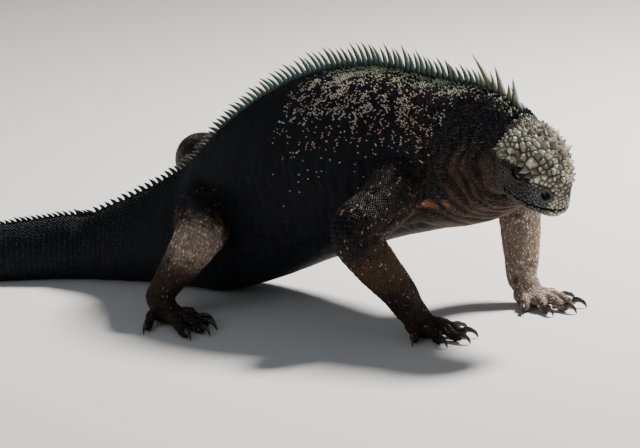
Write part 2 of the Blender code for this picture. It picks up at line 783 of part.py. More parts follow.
def add_scutes(head):
    tree = BVHTree.FromObject(head, bpy.context.evaluated_depsgraph_get())
    forward, _, up = head_axes()
    made = []
    for x, y, size in scute_places():
        # Rays fan out a little to the sides and the front, so that the scutes follow the round of the head.
        way = (up + forward * 0.012 * max(x, 0) + head_axes()[1] * 0.016 * y).normalized()
        start = head_point(x, y * 0.75, 0) + way * SCUTE_PROBE * UNIT
        hit, normal, _, _ = tree.ray_cast(start, -way)
        if hit is None:
            continue
        bm = bmesh.new()
        scute_mesh(bm, hit, normal, -forward * 0.5 + up * 0.5, size)
        made.append(new_object("scute", bm))
    boolean(head, made, "UNION")
    keep_largest(head)


def ball(centre, radius, segments=12, rings=8, stretch=(1, 1, 1)):
    bm = bmesh.new()
    forward, left, up = head_axes()
    turn = Matrix((forward, left, up)).transposed().to_4x4()
    bmesh.ops.create_uvsphere(
        bm, u_segments=segments, v_segments=rings, radius=radius,
        matrix=Matrix.Translation(centre) @ turn @ Matrix.Diagonal((*stretch, 1)),
    )
    return new_object("ball", bm)


def eye_slit(side):
    """The almond-shaped opening between the lids, as a cutter that tapers inwards."""
    bm = bmesh.new()
    half_length, half_height, lean = 6.8, 2.8, math.radians(-14)
    rings = []
    for depth, share in ((6, 0.6), (16, 1.25)):
        ring = []
        for k in range(12):
            angle = 2 * math.pi * k / 12
            a, b = half_length * share * math.cos(angle), half_height * share * math.sin(angle)
            x = a * math.cos(lean) - b * math.sin(lean)
            z = a * math.sin(lean) + b * math.cos(lean)
            ring.append(head_point(EYE_AT[0] + x, side * (EYE_AT[1] - 6 + depth), EYE_AT[2] + z))
        rings.append(ring)
    add_loft(bm, rings)
    return new_object("slit", bm)


def add_head_details(head):
    """Lids with their slits, eye sockets, nostrils and the shallow cups of the ears."""
    lids = [ball(head_point(EYE_AT[0], side * EYE_AT[1], EYE_AT[2]), LID_RADIUS * UNIT) for side in (-1, 1)]
    boolean(head, lids, "UNION")
    cutters = []
    for side in (-1, 1):
        socket = head_point(EYE_AT[0], side * EYE_AT[1], EYE_AT[2])
        ear = head_point(EAR_AT[0], side * (EAR_AT[1] + 2.2), EAR_AT[2])
        nostril = head_point(NOSTRIL_AT[0] + 1, side * (NOSTRIL_AT[1] + 2), NOSTRIL_AT[2] + 1.5)
        cutters.append(ball(socket, EYE_RADIUS * UNIT + GAP))
        cutters.append(eye_slit(side))
        cutters.append(ball(ear, EAR_RADIUS * UNIT, 12, 8, (0.8, 0.75, 1.1)))
        cutters.append(ball(nostril, NOSTRIL_RADIUS * UNIT, 10, 6, (1.0, 2.2, 1.2)))
    boolean(head, cutters, "DIFFERENCE")
    keep_largest(head)


def make_eyes(nodes):
    for name, side in (("eye_right", -1), ("eye_left", 1)):
        eye = ball(head_point(EYE_AT[0], side * EYE_AT[1], EYE_AT[2]), EYE_RADIUS * UNIT)
        eye.name = name
        nodes[name] = eye


def make_claw(name, end, along, radius):
    """A hooked claw: it starts face to face with the toe and curves down to touch the floor."""
    bm = bmesh.new()
    root = Vector((end.x, end.y, radius + 1.0))
    rings = []
    steps, sides = 5, 6
    for k in range(steps):
        t = k / (steps - 1)
        turn = math.radians(12 - 95 * t)
        if k:
            heading = along * math.cos(turn) + Vector((0, 0, 1)) * math.sin(turn)
            root = root + heading * CLAW_LENGTH / (steps - 1)
        normal_turn = 0.0 if k == 0 else turn
        up = Vector((0, 0, 1)) * math.cos(normal_turn) - along * math.sin(normal_turn)
        side = Vector((-along.y, along.x, 0))
        size = CLAW_RADIUS * (1 - t) ** 0.75 + 0.35
        centre = root + along * (GAP / UNIT * 1.5 if k == 0 else 0)
        rings.append([
            (centre + side * math.cos(a) * size * 0.72 + up * math.sin(a) * size) * UNIT
            for a in (2 * math.pi * i / sides for i in range(sides))
        ])
    lowest = min(p.z for ring in rings for p in ring)
    lift = Vector((0, 0, 0.0002 - lowest)) if lowest < 0.0002 else Vector()
    add_loft(bm, [[p + lift * (k / (steps - 1)) for p in ring] for k, ring in enumerate(rings)])
    return new_object(name, bm)


def make_claws(nodes):
    for limb_name, _, foot, digits, inner in LIMBS:
        for k, (_, end, along, radius) in enumerate(digit_paths(foot, digits, inner)):
            name = f"claw_{limb_name}_{k + 1}"
            nodes[name] = make_claw(name, end, along, radius)


COLOURS = {
    "head": ((0.36, 0.33, 0.27), 0.75), "lower_jaw": ((0.28, 0.24, 0.19), 0.75),
    "eye": ((0.03, 0.02, 0.015), 0.15),
    "claw": ((0.02, 0.018, 0.018), 0.35),
    "skin": ((0.06, 0.052, 0.047), 0.7),
}


def colour_nodes(nodes):
    made = {}
    for key, (colour, roughness) in COLOURS.items():
        material = bpy.data.materials.new(key)
        material.use_nodes = True
        shader = material.node_tree.nodes["Principled BSDF"]
        shader.inputs["Base Color"].default_value = (*colour, 1)
        shader.inputs["Roughness"].default_value = roughness
        shader.inputs["Metallic"].default_value = 0.0
        made[key] = material
    for name, node in nodes.items():
        key = name if name in COLOURS else name.split("_")[0]
        node.data.materials.clear()
        node.data.materials.append(made.get(key, made["skin"]))
        node.data.shade_smooth()
        node.data.set_sharp_from_angle(angle=math.radians(40))


def main():
    for old in list(bpy.data.objects):
        bpy.data.objects.remove(old)
    nodes = cut_into_parts(make_flesh())
    add_head_details(nodes["head"])
    add_scutes(nodes["head"])
    add_crest(nodes)
    make_eyes(nodes)
    make_claws(nodes)
    colour_nodes(nodes)


main()
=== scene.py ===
"""A marine iguana, life size: its scaly skin, crest, claws and eyes over its solids, on a plain floor.

The same stations as the solids are lofted, fused and smoothed into one skin, which is creased and opened at
the eyes, nostrils and ears. Scales are then set on it row by row, and scutes and spines one by one. Places and
lengths are in station millimetres unless metres are named, and a pair in smooth_step is where a change begins
and ends.
"""

import math
import random

import bmesh
import bpy
import numpy as np
from mathutils import Matrix, Vector, noise
from mathutils.bvhtree import BVHTree


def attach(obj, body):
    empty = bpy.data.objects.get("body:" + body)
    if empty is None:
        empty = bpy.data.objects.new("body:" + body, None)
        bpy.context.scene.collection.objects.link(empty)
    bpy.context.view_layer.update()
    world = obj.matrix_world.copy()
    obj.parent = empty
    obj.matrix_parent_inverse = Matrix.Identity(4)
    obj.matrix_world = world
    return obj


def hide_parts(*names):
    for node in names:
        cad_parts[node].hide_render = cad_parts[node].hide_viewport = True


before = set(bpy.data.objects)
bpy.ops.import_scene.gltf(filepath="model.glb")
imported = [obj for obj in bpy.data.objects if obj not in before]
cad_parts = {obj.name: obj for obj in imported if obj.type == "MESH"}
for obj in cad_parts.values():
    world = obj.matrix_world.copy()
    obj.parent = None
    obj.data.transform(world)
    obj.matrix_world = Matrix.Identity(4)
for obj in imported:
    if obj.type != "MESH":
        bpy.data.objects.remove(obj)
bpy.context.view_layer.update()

# Driving sizes. Every station below is in millimetres on an animal 410 mm from snout to vent.
SNOUT_TO_VENT = 0.410
UNIT = SNOUT_TO_VENT / 410.0
GAP = 0.0003
FLOOR_SINK = 1.2
SKIN_VOXEL = 1.3
SKIN_DEPTH = 0.5
SKIN_LOWEST = 0.25
SMOOTH_REACH = 96.0
BASE_SMOOTHING = 0.12
SMOOTH_LEVELS = 50
PER_ROW = 6
RING_POINTS = 64
UP = Vector((0, 0, 1))

# Trunk stations: along, across, height of the back, height of the underside, half width.
TRUNK = (
    (-120, -22, 60, -1.2, 25), (-60, -4, 88, -1.4, 35), (-20, 0, 111, -1.6, 44), (20, 0, 146, -0.5, 53),
    (70, 0, 178, 14, 64), (125, 0, 200, 36, 71), (185, 0, 208, 58, 69), (245, -1, 202, 75, 58),
    (288, -4, 199, 84, 46), (312, -9, 195, 94, 40), (334, -14, 186, 106, 33),
)
BODY_POWERS = (1.75, 2.3)
BODY_WIDEST_AT = 0.42
FRAME_STEP = 0.05

# The tail lies on the floor in one slow bend each way.
TAIL_LENGTH = 480.0
TAIL_STEP = 24.0
TAIL_SWING = 40.0
TAIL_SWING_START = 60.0
TAIL_SWING_SPAN = 420.0
TAIL_OVERRUN = 1.03
TAIL_HEIGHT_POWER = 0.85
TAIL_WIDTH_POWER = 1.15
TAIL_LEAST_WIDTH = 1.2

# The head has its own axes: forward along the skull, left, and up from the jaw joint.
# Its rows: x, top, low, half width.
HEAD_AT = (331, -13, 142)
HEAD_YAW = -24.0
HEAD_PITCH = -19.0
HEAD = (
    (-16, 33, -31, 27), (0, 35, -32, 30.5), (14, 35.5, -30, 30), (27, 33.5, -27, 26.5), (39, 29.5, -25, 22),
    (49.5, 23.5, -23.5, 18), (56, 16, -22, 14), (60.5, 6, -19.5, 10), (62.5, -3, -15.5, 5),
)
HEAD_POWERS = (2.5, 2.2)
HEAD_WIDEST_AT = 0.5

EYE_AT = (29, 17.0, 6)
EYE_RADIUS = 7.0
LID_RADIUS = 8.3
NOSTRIL_AT = (55.5, 9.0, -2)
NOSTRIL_RADIUS = 2.4
NOSTRIL_TUBE_RADIUS = 5.0
# The rim of a nostril, as a shift from its place.
NOSTRIL_RIM = (1.5, 2.6, 1.5)
EAR_AT = (-1, 30.0, -2)
EAR_RADIUS = 3.8
BROW = ((8, 23.8, 17.5), (18, 23.2, 18.3), (29, 20.3, 18.5), (39, 15.5, 16))
BROW_RADIUS = 4.2
MOUTH_LINE = ((84, -10), (60, -12), (44, -13.5), (31, -12), (21, -8.5))
# Half the width of the head along the lips, and the rise and radius of each lip.
LIP_LINE = ((22, 25.8), (32, 22.3), (44, 17.9), (52, 14), (57.8, 9.3), (61.5, 4), (62.5, 0))
LIPS = ((2.2, 2.6), (-2.6, 2.4))

# Limb stations: x, y, z, radius, from inside the trunk to the wrist or ankle.
ARM_RIGHT = ((232, -24, 130, 27), (239, -52, 122, 25), (238, -82, 107, 22), (232, -108, 93, 20.5),
             (240, -95, 66, 18.5), (248, -78, 42, 15.5), (253, -67, 23, 13))
ARM_LEFT = ((246, 24, 130, 27), (252, 50, 120, 25), (259, 72, 102, 21.5), (264, 83, 84, 19.5),
            (270, 77, 61, 17.5), (276, 68, 39, 15), (279, 62, 23, 13))
LEG_RIGHT = ((22, -14, 70, 38), (30, -42, 72, 33), (44, -70, 72, 26), (56, -92, 69, 21),
             (46, -101, 50, 17.5), (33, -108, 31, 13), (24, -111, 18, 12))
LEG_LEFT = ((18, 14, 76, 38), (6, 40, 82, 31), (-34, 53, 94, 25), (-66, 63, 100, 20.5),
            (-76, 73, 74, 18), (-87, 83, 43, 13.5), (-92, 88, 20, 12))

# Feet: centre of the palm or sole, heading in degrees, half length and half width.
HAND_RIGHT = ((264, -63), -14, 17, 14.5)
HAND_LEFT = ((291, 58), -6, 17, 14.5)
FOOT_RIGHT = ((40, -120), -26, 24, 13)
FOOT_LEFT = ((-82, 107), 58, 24, 13)
FOOT_HALF_HEIGHT = 9.0
# Digits: angle towards the inner side, start ahead of the centre, start across, length, radius.
HAND_DIGITS = (
    (58, 2, 9, 18, 4.8), (26, 9, 7, 25, 4.9), (5, 11, 1, 30, 5.0), (-15, 9, -6, 28, 4.9),
    (-48, 2, -10, 19, 4.6),
)
FOOT_DIGITS = (
    (40, 8, 9, 20, 4.8), (20, 15, 6, 31, 5.0), (6, 17, 1, 42, 5.1), (-8, 14, -5, 50, 5.1),
    (-38, -4, -10, 32, 4.7),
)
DIGIT_SHARES = (0.0, 0.28, 0.52)
DIGIT_WIDTHS = (1.12, 1.06, 1.0, 0.96, 0.84)
CLAW_LENGTH = 15.0
CLAW_RADIUS = 2.9
CLAW_SUNK = 1.2
CLAW_SIDES = 14
CLAW_STEPS = 16
LIMBS = (
    ("hand_right", ARM_RIGHT, HAND_RIGHT, HAND_DIGITS, 1),
    ("hand_left", ARM_LEFT, HAND_LEFT, HAND_DIGITS, -1),
    ("foot_right", LEG_RIGHT, FOOT_RIGHT, FOOT_DIGITS, 1),
    ("foot_left", LEG_LEFT, FOOT_LEFT, FOOT_DIGITS, -1),
)

# Crest spines on the nape: place along the trunk's stations, height and lean.
NAPE_SPINES = (
    (9.97, 12, 1.2), (9.7, 19, 0.65), (9.42, 12, 0.6), (9.1, 21, 0.75), (8.82, 14, 0.8), (8.56, 27, 1.0),
    (8.22, 14, 0.8),
)
NAPE_STEP = 8.0
# Crest spines behind them: place along the trunk's stations, height, step to the next, and lean.
CREST = (
    (7.98, 14, 6.8, 0.5), (7.4, 15, 6.8, 0.4), (6.9, 20, 6.6, 0.35), (5.5, 20, 6.6, 0.35), (4.0, 16, 6.6, 0.4),
    (2.6, 10, 6.6, 0.4), (1.0, 7, 7.2, 0.4), (0.0, 6, 8.4, 0.4),
)
CREST_CLOSER = 0.82
CREST_END = 0.6
TAIL_CREST_CLOSER = 0.55
# The tail's crest: height, step to the next, and lean.
TAIL_CREST = (6.0, 9.0, 0.7)
SPINE_SUNK = 3.0
SPINE_LEVELS = 9
SPINE_SIDES = 8

# Where the fused shells are smoothed into each other: centre, reach and strength.
JUNCTIONS = (
    ((318, -10, 140), 42, 1.6), ((238, -50, 122), 46, 1.6), ((254, 48, 120), 46, 1.6),
    ((28, -44, 74), 50, 1.6), ((2, 40, 84), 50, 1.6), ((232, -106, 92), 26, 1.6),
    ((264, 83, 84), 26, 1.6), ((56, -92, 69), 26, 1.6), ((-66, 63, 100), 26, 1.6),
    ((30, -114, 20), 24, 0.7), ((-90, 92, 22), 22, 0.6), ((257, -65, 22), 20, 0.6), ((283, 60, 22), 20, 0.6),
)

# Distance between rows of scales at shares of the way from snout to tail tip, or from a limb's root to its end.
BODY_SPACING = ((0.0, 0.08, 0.2, 0.42, 0.5, 0.75, 1.0), (1.6, 1.7, 1.8, 1.85, 2.0, 2.0, 1.55))
LIMB_SPACING = ((0, 1), (1.9, 1.9))
TOE_SPACING = ((0, 1), (1.75, 1.75))
SCALE_HEIGHT = 0.30
TOE_SCALE_HEIGHT = 0.28

# Colours, linear.
DARK = (0.0040, 0.0060, 0.0125)
BROWN = (0.034, 0.024, 0.018)
THROAT = (0.100, 0.056, 0.036)
CHEEK = (0.078, 0.080, 0.068)
SLATE = (0.105, 0.113, 0.125)
HEAD_GREY = (0.56, 0.53, 0.43)
MOSS = (0.10, 0.125, 0.10)
UMBER = (0.17, 0.12, 0.075)
LIP_GREY = (0.21, 0.22, 0.17)
OCHRE = (0.28, 0.14, 0.055)
TAN = (0.33, 0.25, 0.19)
RUST = (0.30, 0.11, 0.05)
# The scales' pale tips, part their own flecks and part painted highlight.
CREAM = (0.93, 0.88, 0.78)
PINKISH = (0.88, 0.58, 0.44)
LEAF = (0.68, 0.76, 0.50)
RIDGE = (0.085, 0.048, 0.034)
EARTH = (0.075, 0.045, 0.024)
TAIL_TIP = (0.30, 0.24, 0.21)
# Black, painted as shade under the brow and in nostrils, ears and mouth.
BLACK = (0.004, 0.004, 0.004)
# The crest's: its root, its faces on the back and on the nape, their pale front edges, part colour and part
# painted highlight, and its tips.
SPINE_ROOT = (0.018, 0.026, 0.024)
TEAL = (0.034, 0.080, 0.076)
OLIVE = (0.085, 0.090, 0.050)
SPINE_EDGE_HIGHLIGHTS = ((0.56, 0.70, 0.56), (0.66, 0.56, 0.42))
SPINE_TIPS = ((0.56, 0.29, 0.11), (0.66, 0.64, 0.52))


def mm(*values):
    """A point given in station millimetres, in metres."""
    return Vector(values) * UNIT


def angles(count):
    """Angles evenly round a full turn."""
    return [math.tau * k / count for k in range(count)]


def through(rows, place):
    """The row at a fractional place along a table, on a smooth curve through every row."""
    last = len(rows) - 1
    i = min(int(place), last - 1)
    t = place - i
    a, b, c, d = (rows[min(max(i + k, 0), last)] for k in (-1, 0, 1, 2))
    return tuple(
        0.5 * (2 * q + (r - p) * t + (2 * p - 5 * q + 4 * r - s) * t * t + (3 * q - p - 3 * r + s) * t ** 3)
        for p, q, r, s in zip(a, b, c, d)
    )


def sampled(rows, per_row=PER_ROW):
    count = (len(rows) - 1) * per_row
    return [through(rows, k / per_row) for k in range(count)] + [tuple(map(float, rows[-1]))]


def tail_rows():
    """Stations from the tip of the tail up to the first trunk station, in the trunk's columns."""
    x, y, height, low, half_width = TRUNK[0]
    rows = []
    walked = TAIL_STEP
    while walked <= TAIL_LENGTH:
        swing = math.radians(TAIL_SWING * math.sin(math.pi * (walked + TAIL_SWING_START) / TAIL_SWING_SPAN))
        x -= TAIL_STEP * math.cos(swing)
        y -= TAIL_STEP * math.sin(swing)
        left = 1 - walked / (TAIL_LENGTH * TAIL_OVERRUN)
        tapered = max(half_width * left ** TAIL_WIDTH_POWER, TAIL_LEAST_WIDTH)
        rows.append((x, y, height * left ** TAIL_HEIGHT_POWER, low, tapered))
        walked += TAIL_STEP
    return rows[::-1]


BODY = tail_rows() + list(TRUNK)
TAIL_ROWS = len(BODY) - len(TRUNK)
BODY_PLACES = [k / PER_ROW for k in range((len(BODY) - 1) * PER_ROW + 1)]


def section(top, low, half_width, widest_at, powers):
    """Across and height of points round a section, blunted above and below by its two powers."""
    middle = low + (top - low) * widest_at
    found = []
    for angle in angles(RING_POINTS):
        c, s = math.cos(angle), math.sin(angle)
        power, reach = (powers[0], top - middle) if s >= 0 else (powers[1], middle - low)
        across = math.copysign(abs(c) ** (2 / power), c) * half_width
        found.append((across, middle + math.copysign(abs(s) ** (2 / power), s) * reach))
    return found


def body_frame(place):
    """The row at a place along BODY, its level forward and left directions, and the direction of the back."""
    ahead = through(BODY, min(place + FRAME_STEP, len(BODY) - 1))
    behind = through(BODY, max(place - FRAME_STEP, 0))
    along = Vector([a - b for a, b in zip(ahead[:3], behind[:3])])
    forward = Vector((along.x, along.y, 0)).normalized()
    return through(BODY, place), forward, Vector((-forward.y, forward.x, 0)), along.normalized()


def body_ring(place):
    (x, y, top, low, half_width), _, side, _ = body_frame(place)
    outline = section(top, low, half_width, BODY_WIDEST_AT, BODY_POWERS)
    return [(Vector((x, y, height)) + side * across) * UNIT for across, height in outline]


def head_axes():
    yaw, pitch = math.radians(HEAD_YAW), math.radians(HEAD_PITCH)
    forward = Vector((math.cos(pitch) * math.cos(yaw), math.cos(pitch) * math.sin(yaw), math.sin(pitch)))
    left = Vector((-math.sin(yaw), math.cos(yaw), 0))
    return forward, left, forward.cross(left)


HEAD_AXES = head_axes()
HEAD_MATRIX = np.array([tuple(axis) for axis in HEAD_AXES])


def head_point(x, y, z):
    """A point in the head's own axes, in world metres."""
    forward, left, up = HEAD_AXES
    return (Vector(HEAD_AT) + forward * x + left * y + up * z) * UNIT


def head_side(place, side, shift=(0, 0, 0)):
    """A place on one side of the head, shifted ahead, out and up, in world metres."""
    x, y, z = (a + b for a, b in zip(place, shift))
    return head_point(x, side * y, z)


def in_head(points):
    """World millimetres turned into the head's own axes."""
    return (points - np.array(HEAD_AT, float)) @ HEAD_MATRIX.T


def head_ring(row):
    x, top, low, half_width = row
    return [head_point(x, *spot) for spot in section(top, low, half_width, HEAD_WIDEST_AT, HEAD_POWERS)]


def add_loft(bm, rings):
    """Skins a list of rings and closes both ends."""
    made = [[bm.verts.new(p) for p in ring] for ring in rings]
    count = len(rings[0])
    for a, b in zip(made, made[1:]):
        for k in range(count):
            n = (k + 1) % count
            bm.faces.new((a[k], a[n], b[n], b[k]))
    bm.faces.new(made[0][::-1])
    bm.faces.new(made[-1])


def tube_frames(stations):
    """Centre, forward, side and up at each station of a tube, with the side carried along without twisting."""
    points = [Vector(s[:3]) for s in stations]
    found = []
    side = None
    for i, point in enumerate(points):
        along = (points[min(i + 1, len(points) - 1)] - points[max(i - 1, 0)]).normalized()
        if side is None:
            side = along.cross(UP)
            side = side.normalized() if side.length > 0.1 else Vector((0, 1, 0))
        side = (side - along * side.dot(along)).normalized()
        found.append((point, along, side, side.cross(along)))
    return found


def tube_rings(stations, sides):
    """Round rings along a path of (x, y, z, radius) in metres, with rounded ends."""
    rings = []
    for i, (point, along, side, up) in enumerate(tube_frames(stations)):
        radius = stations[i][3]
        ends = [(0.0, 1.0)]
        if i == 0:
            ends = [(-0.8, 0.5), (-0.45, 0.85), (0.0, 1.0)]
        elif i == len(stations) - 1:
            ends = [(0.0, 1.0), (0.45, 0.85), (0.8, 0.5)]
        for shift, share in ends:
            centre = point + along * radius * shift
            round_it = [(side * math.cos(a) + up * math.sin(a)) * radius * share for a in angles(sides)]
            rings.append([centre + out for out in round_it])
    return rings


def add_tube(bm, stations, sides=24):
    metres = [tuple(v * UNIT for v in s) for s in stations]
    add_loft(bm, tube_rings(sampled(metres), sides))


def add_ball(bm, centre, radii, turn=0.0):
    matrix = Matrix.Translation(centre) @ Matrix.Rotation(turn, 4, "Z") @ Matrix.Diagonal((*radii, 1))
    bmesh.ops.create_icosphere(bm, subdivisions=4, radius=1.0, matrix=matrix)


def digit_paths(foot, digits, inner):
    """For each digit of a foot: the stations of its flesh, and the place, heading and radius of its claw."""
    (x, y), heading, _, _ = foot
    found = []
    for angle, ahead, across, length, radius in digits:
        base = math.radians(heading)
        forward = Vector((math.cos(base), math.sin(base), 0))
        side = Vector((-forward.y, forward.x, 0)) * inner
        way = math.radians(heading + angle * inner)
        along = Vector((math.cos(way), math.sin(way), 0))
        start = Vector((x, y, 0)) + forward * ahead + side * across
        heights = (radius + 2.5, radius + 4.0, radius + 3.0, radius - 0.4, radius - FLOOR_SINK + 0.6)
        tip = 1 - (0.6 * radius - 0.6) / length
        stations = [
            (*(start + along * length * share).xy, height, radius * width)
            for share, height, width in zip((*DIGIT_SHARES, 0.8 * tip, tip), heights, DIGIT_WIDTHS)
        ]
        found.append((stations, start + along * length, along, radius))
    return found


def link_object(name, mesh):
    made = bpy.data.objects.new(name, mesh)
    bpy.context.scene.collection.objects.link(made)
    return made


def new_object(name, bm):
    mesh = bpy.data.meshes.new(name)
    bmesh.ops.recalc_face_normals(bm, faces=bm.faces)
    bm.to_mesh(mesh)
    bm.free()
    return link_object(name, mesh)


def apply_modifiers(made):
    graph = bpy.context.evaluated_depsgraph_get()
    mesh = bpy.data.meshes.new_from_object(made.evaluated_get(graph))
    made.modifiers.clear()
    old = made.data
    made.data = mesh
    bpy.data.meshes.remove(old)


def boolean(made, others, operation):
    """Joins the helpers to an object, or cuts them from it, and removes them."""
    helpers = bpy.data.collections.new("helpers")
    bpy.context.scene.collection.children.link(helpers)
    for other in others:
        bpy.context.scene.collection.objects.unlink(other)
        helpers.objects.link(other)
    modifier = made.modifiers.new("Boolean", "BOOLEAN")
    modifier.operation = operation
    modifier.solver = "MANIFOLD"
    modifier.operand_type = "COLLECTION"
    modifier.collection = helpers
    apply_modifiers(made)
    for other in others:
        bpy.data.objects.remove(other)
    bpy.data.collections.remove(helpers)


def points_of(mesh):
    """The mesh's points in station millimetres, and their normals."""
    flat = np.empty(len(mesh.vertices) * 3, np.float32)
    mesh.vertices.foreach_get("co", flat)
    normals = np.empty(len(mesh.vertices) * 3, np.float32)
    mesh.vertex_normals.foreach_get("vector", normals)
    return flat.reshape(-1, 3).astype(float) / UNIT, normals.reshape(-1, 3).astype(float)


def set_points(mesh, points):
    mesh.vertices.foreach_set("co", (points * UNIT).astype(np.float32).ravel())
    mesh.update()


def rough(points, size):
    """Smooth noise from about -1 to 1, with lumps of a size in millimetres."""
    return np.array([noise.noise(p) for p in (points / size).tolist()])


def smooth_step(low, high, values):
    t = np.clip((values - low) / (high - low), 0, 1)
    return t * t * (3 - 2 * t)


def away_from(points, centre):
    return np.linalg.norm(points - np.array(centre, float), axis=1)


def mouth_height(x):
    """Height of the mouth line in the head's axes."""
    return np.interp(x, *zip(*MOUTH_LINE[::-1]))


def lip_width(x):
    return np.interp(x, *zip(*LIP_LINE))


def add_path(bm, rows, side):
    """A thin tube through points in the head's axes, on one side of the head."""
    stations = [(*head_point(x, y * side, z), radius * UNIT) for x, y, z, radius in sampled(rows, 3)]
    add_loft(bm, tube_rings(stations, 12))


def add_mouth_and_brows(bm):
    """Ridges of the head that the lofted sections lack: lips, brows and the tubes of the nostrils."""
    for side in (-1, 1):
        add_path(bm, [(*p, BROW_RADIUS) for p in BROW], side)
        for rise, radius in LIPS:
            add_path(bm, [(x, y, mouth_height(x) + rise, radius) for x, y in LIP_LINE], side)
        add_ball(bm, head_side(NOSTRIL_AT, side, (-2, -1, 1)), [NOSTRIL_TUBE_RADIUS * UNIT] * 3)


def make_form():
    """The whole body as one closed, smoothed surface."""
    bm = bmesh.new()
    add_loft(bm, [body_ring(place) for place in BODY_PLACES])
    add_loft(bm, [head_ring(row) for row in sampled(HEAD)])
    add_mouth_and_brows(bm)
    for _, limb, foot, digits, inner in LIMBS:
        add_tube(bm, limb)
        (x, y), heading, half_length, half_width = foot
        radii = (half_length * UNIT, half_width * UNIT, FOOT_HALF_HEIGHT * UNIT)
        add_ball(bm, mm(x, y, FOOT_HALF_HEIGHT - FLOOR_SINK), radii, math.radians(heading))
        add_tube(bm, (limb[-1], (x, y, FOOT_HALF_HEIGHT, FOOT_HALF_HEIGHT + 1.5)))
        for stations, _, _, _ in digit_paths(foot, digits, inner):
            add_tube(bm, stations, 16)
    form = new_object("skin", bm)
    fuse = form.modifiers.new("Fuse", "REMESH")
    fuse.mode = "VOXEL"
    fuse.voxel_size = SKIN_VOXEL * UNIT
    apply_modifiers(form)
    soften(form)
    return form


def soften(form):
    """Smooths the junctions well and the rest a little."""
    group = form.vertex_groups.new(name="junctions")
    points, _ = points_of(form.data)
    weights = np.full(len(points), BASE_SMOOTHING)
    for centre, reach, strength in JUNCTIONS:
        weights = np.maximum(weights, BASE_SMOOTHING + strength * (1 - away_from(points, centre) / reach))
    steps = np.round(np.clip(weights, 0, 1) * SMOOTH_LEVELS).astype(int)
    for level in np.unique(steps):
        group.add(np.flatnonzero(steps == level).tolist(), level / SMOOTH_LEVELS, "REPLACE")
    smooth = form.modifiers.new("Smooth", "SMOOTH")
    smooth.factor = 0.5
    smooth.iterations = round(SMOOTH_REACH / SKIN_VOXEL ** 2)
    smooth.vertex_group = group.name
    apply_modifiers(form)


class Chain:
    """A line through part of the animal with its sections, which says how far along and round a point is.

    Each row: its centre, its forward, side and upper directions, and its reach sideways, up and down.
    """

    def __init__(self, name, rows, spacing=None, height=None):
        self.name = name
        self.centres, self.forwards, self.sides, self.tops = (
            np.array([tuple(row[k]) for row in rows]) for k in range(4)
        )
        self.widths, self.ups, self.downs = np.array([row[4:] for row in rows], float).T
        steps = np.linalg.norm(np.diff(self.centres, axis=0), axis=1)
        self.lengths = np.concatenate(([0.0], np.cumsum(steps)))
        self.spacing = spacing
        self.height = height

    def locate(self, points):
        """Along, angle from the upper side, mean radius there, and distance outside the section."""
        last = len(self.centres) - 1
        nearest = np.concatenate([
            ((block[:, None, :] - self.centres[None]) ** 2).sum(2).argmin(1)
            for block in np.array_split(points, max(len(points) // 20000, 1))
        ])
        ahead = ((points - self.centres[nearest]) * self.forwards[nearest]).sum(1)
        k = np.clip(np.where(ahead >= 0, nearest, nearest - 1), 0, last - 1)
        near = ((points - self.centres[k]) * self.forwards[k]).sum(1)
        far = ((points - self.centres[k + 1]) * self.forwards[k + 1]).sum(1)
        t = near / np.maximum(near - far, 1e-6)
        inside = np.clip(t, 0, 1)
        along = self.lengths[k] + t * (self.lengths[k + 1] - self.lengths[k])

        def between(values):
            share = inside if values.ndim == 1 else inside[:, None]
            return values[k] * (1 - share) + values[k + 1] * share

        out = points - between(self.centres)
        across = (out * between(self.sides)).sum(1)
        rise = (out * between(self.tops)).sum(1)
        past = np.abs(t - inside) * (self.lengths[k + 1] - self.lengths[k])
        away = np.hypot(across, rise)
        angle = np.arctan2(across, rise)
        tall = np.where(rise > 0, between(self.ups), between(self.downs))
        outline = 1 / np.sqrt((np.sin(angle) / between(self.widths)) ** 2 + (np.cos(angle) / tall) ** 2)
        return along, angle, between((self.widths + (self.ups + self.downs) / 2) / 2), away - outline + past


def body_chain():
    rows = []
    for place in BODY_PLACES:
        (x, y, top, low, half_width), forward, side, _ = body_frame(place)
        middle = low + (top - low) * BODY_WIDEST_AT
        rows.append((Vector((x, y, middle)), -forward, side, UP, half_width, top - middle, middle - low))
    return Chain("body", rows[::-1], BODY_SPACING, SCALE_HEIGHT)


def head_chain():
    rows = []
    for x, top, low, half_width in sampled(HEAD):
        middle = (top + low) / 2
        rows.append((head_point(x, 0, middle) / UNIT, *HEAD_AXES, half_width, top - middle, middle - low))
    return Chain("head", rows)


def tube_chain(name, stations, spacing, height):
    rows = sampled(stations)
    return Chain(name, [(*f, r, r, r) for f, (_, _, _, r) in zip(tube_frames(rows), rows)], spacing, height)


# The places of the body's and the head's chain in the list of chains.
OF_BODY = 0
OF_HEAD = 1


def make_chains():
    chains = [body_chain(), head_chain()]
    for name, limb, foot, digits, inner in LIMBS:
        palm = (*foot[0], FOOT_HALF_HEIGHT, FOOT_HALF_HEIGHT + 3)
        limb_name = name.replace("hand", "arm").replace("foot", "leg")
        chains.append(tube_chain(limb_name, (*limb, palm), LIMB_SPACING, SCALE_HEIGHT))
        for k, (stations, _, _, _) in enumerate(digit_paths(foot, digits, inner)):
            chains.append(tube_chain(f"{name}_{k + 1}", (palm, *stations), TOE_SPACING, TOE_SCALE_HEIGHT))
    return chains


def owners(chains, points):
    """For each point, the chain whose section it lies nearest to."""
    best = np.full(len(points), np.inf)
    owner = np.zeros(len(points), int)
    for number, chain in enumerate(chains):
        reach = chain.widths.max() + 25
        low, high = chain.centres.min(0) - reach, chain.centres.max(0) + reach
        inside = np.flatnonzero(((points > low) & (points < high)).all(1))
        outside = chain.locate(points[inside])[3]
        closer = outside < best[inside]
        owner[inside[closer]] = number
        best[inside[closer]] = outside[closer]
    return owner


def crease(away, width, depth):
    return -depth * np.exp(-(away / width) ** 2)


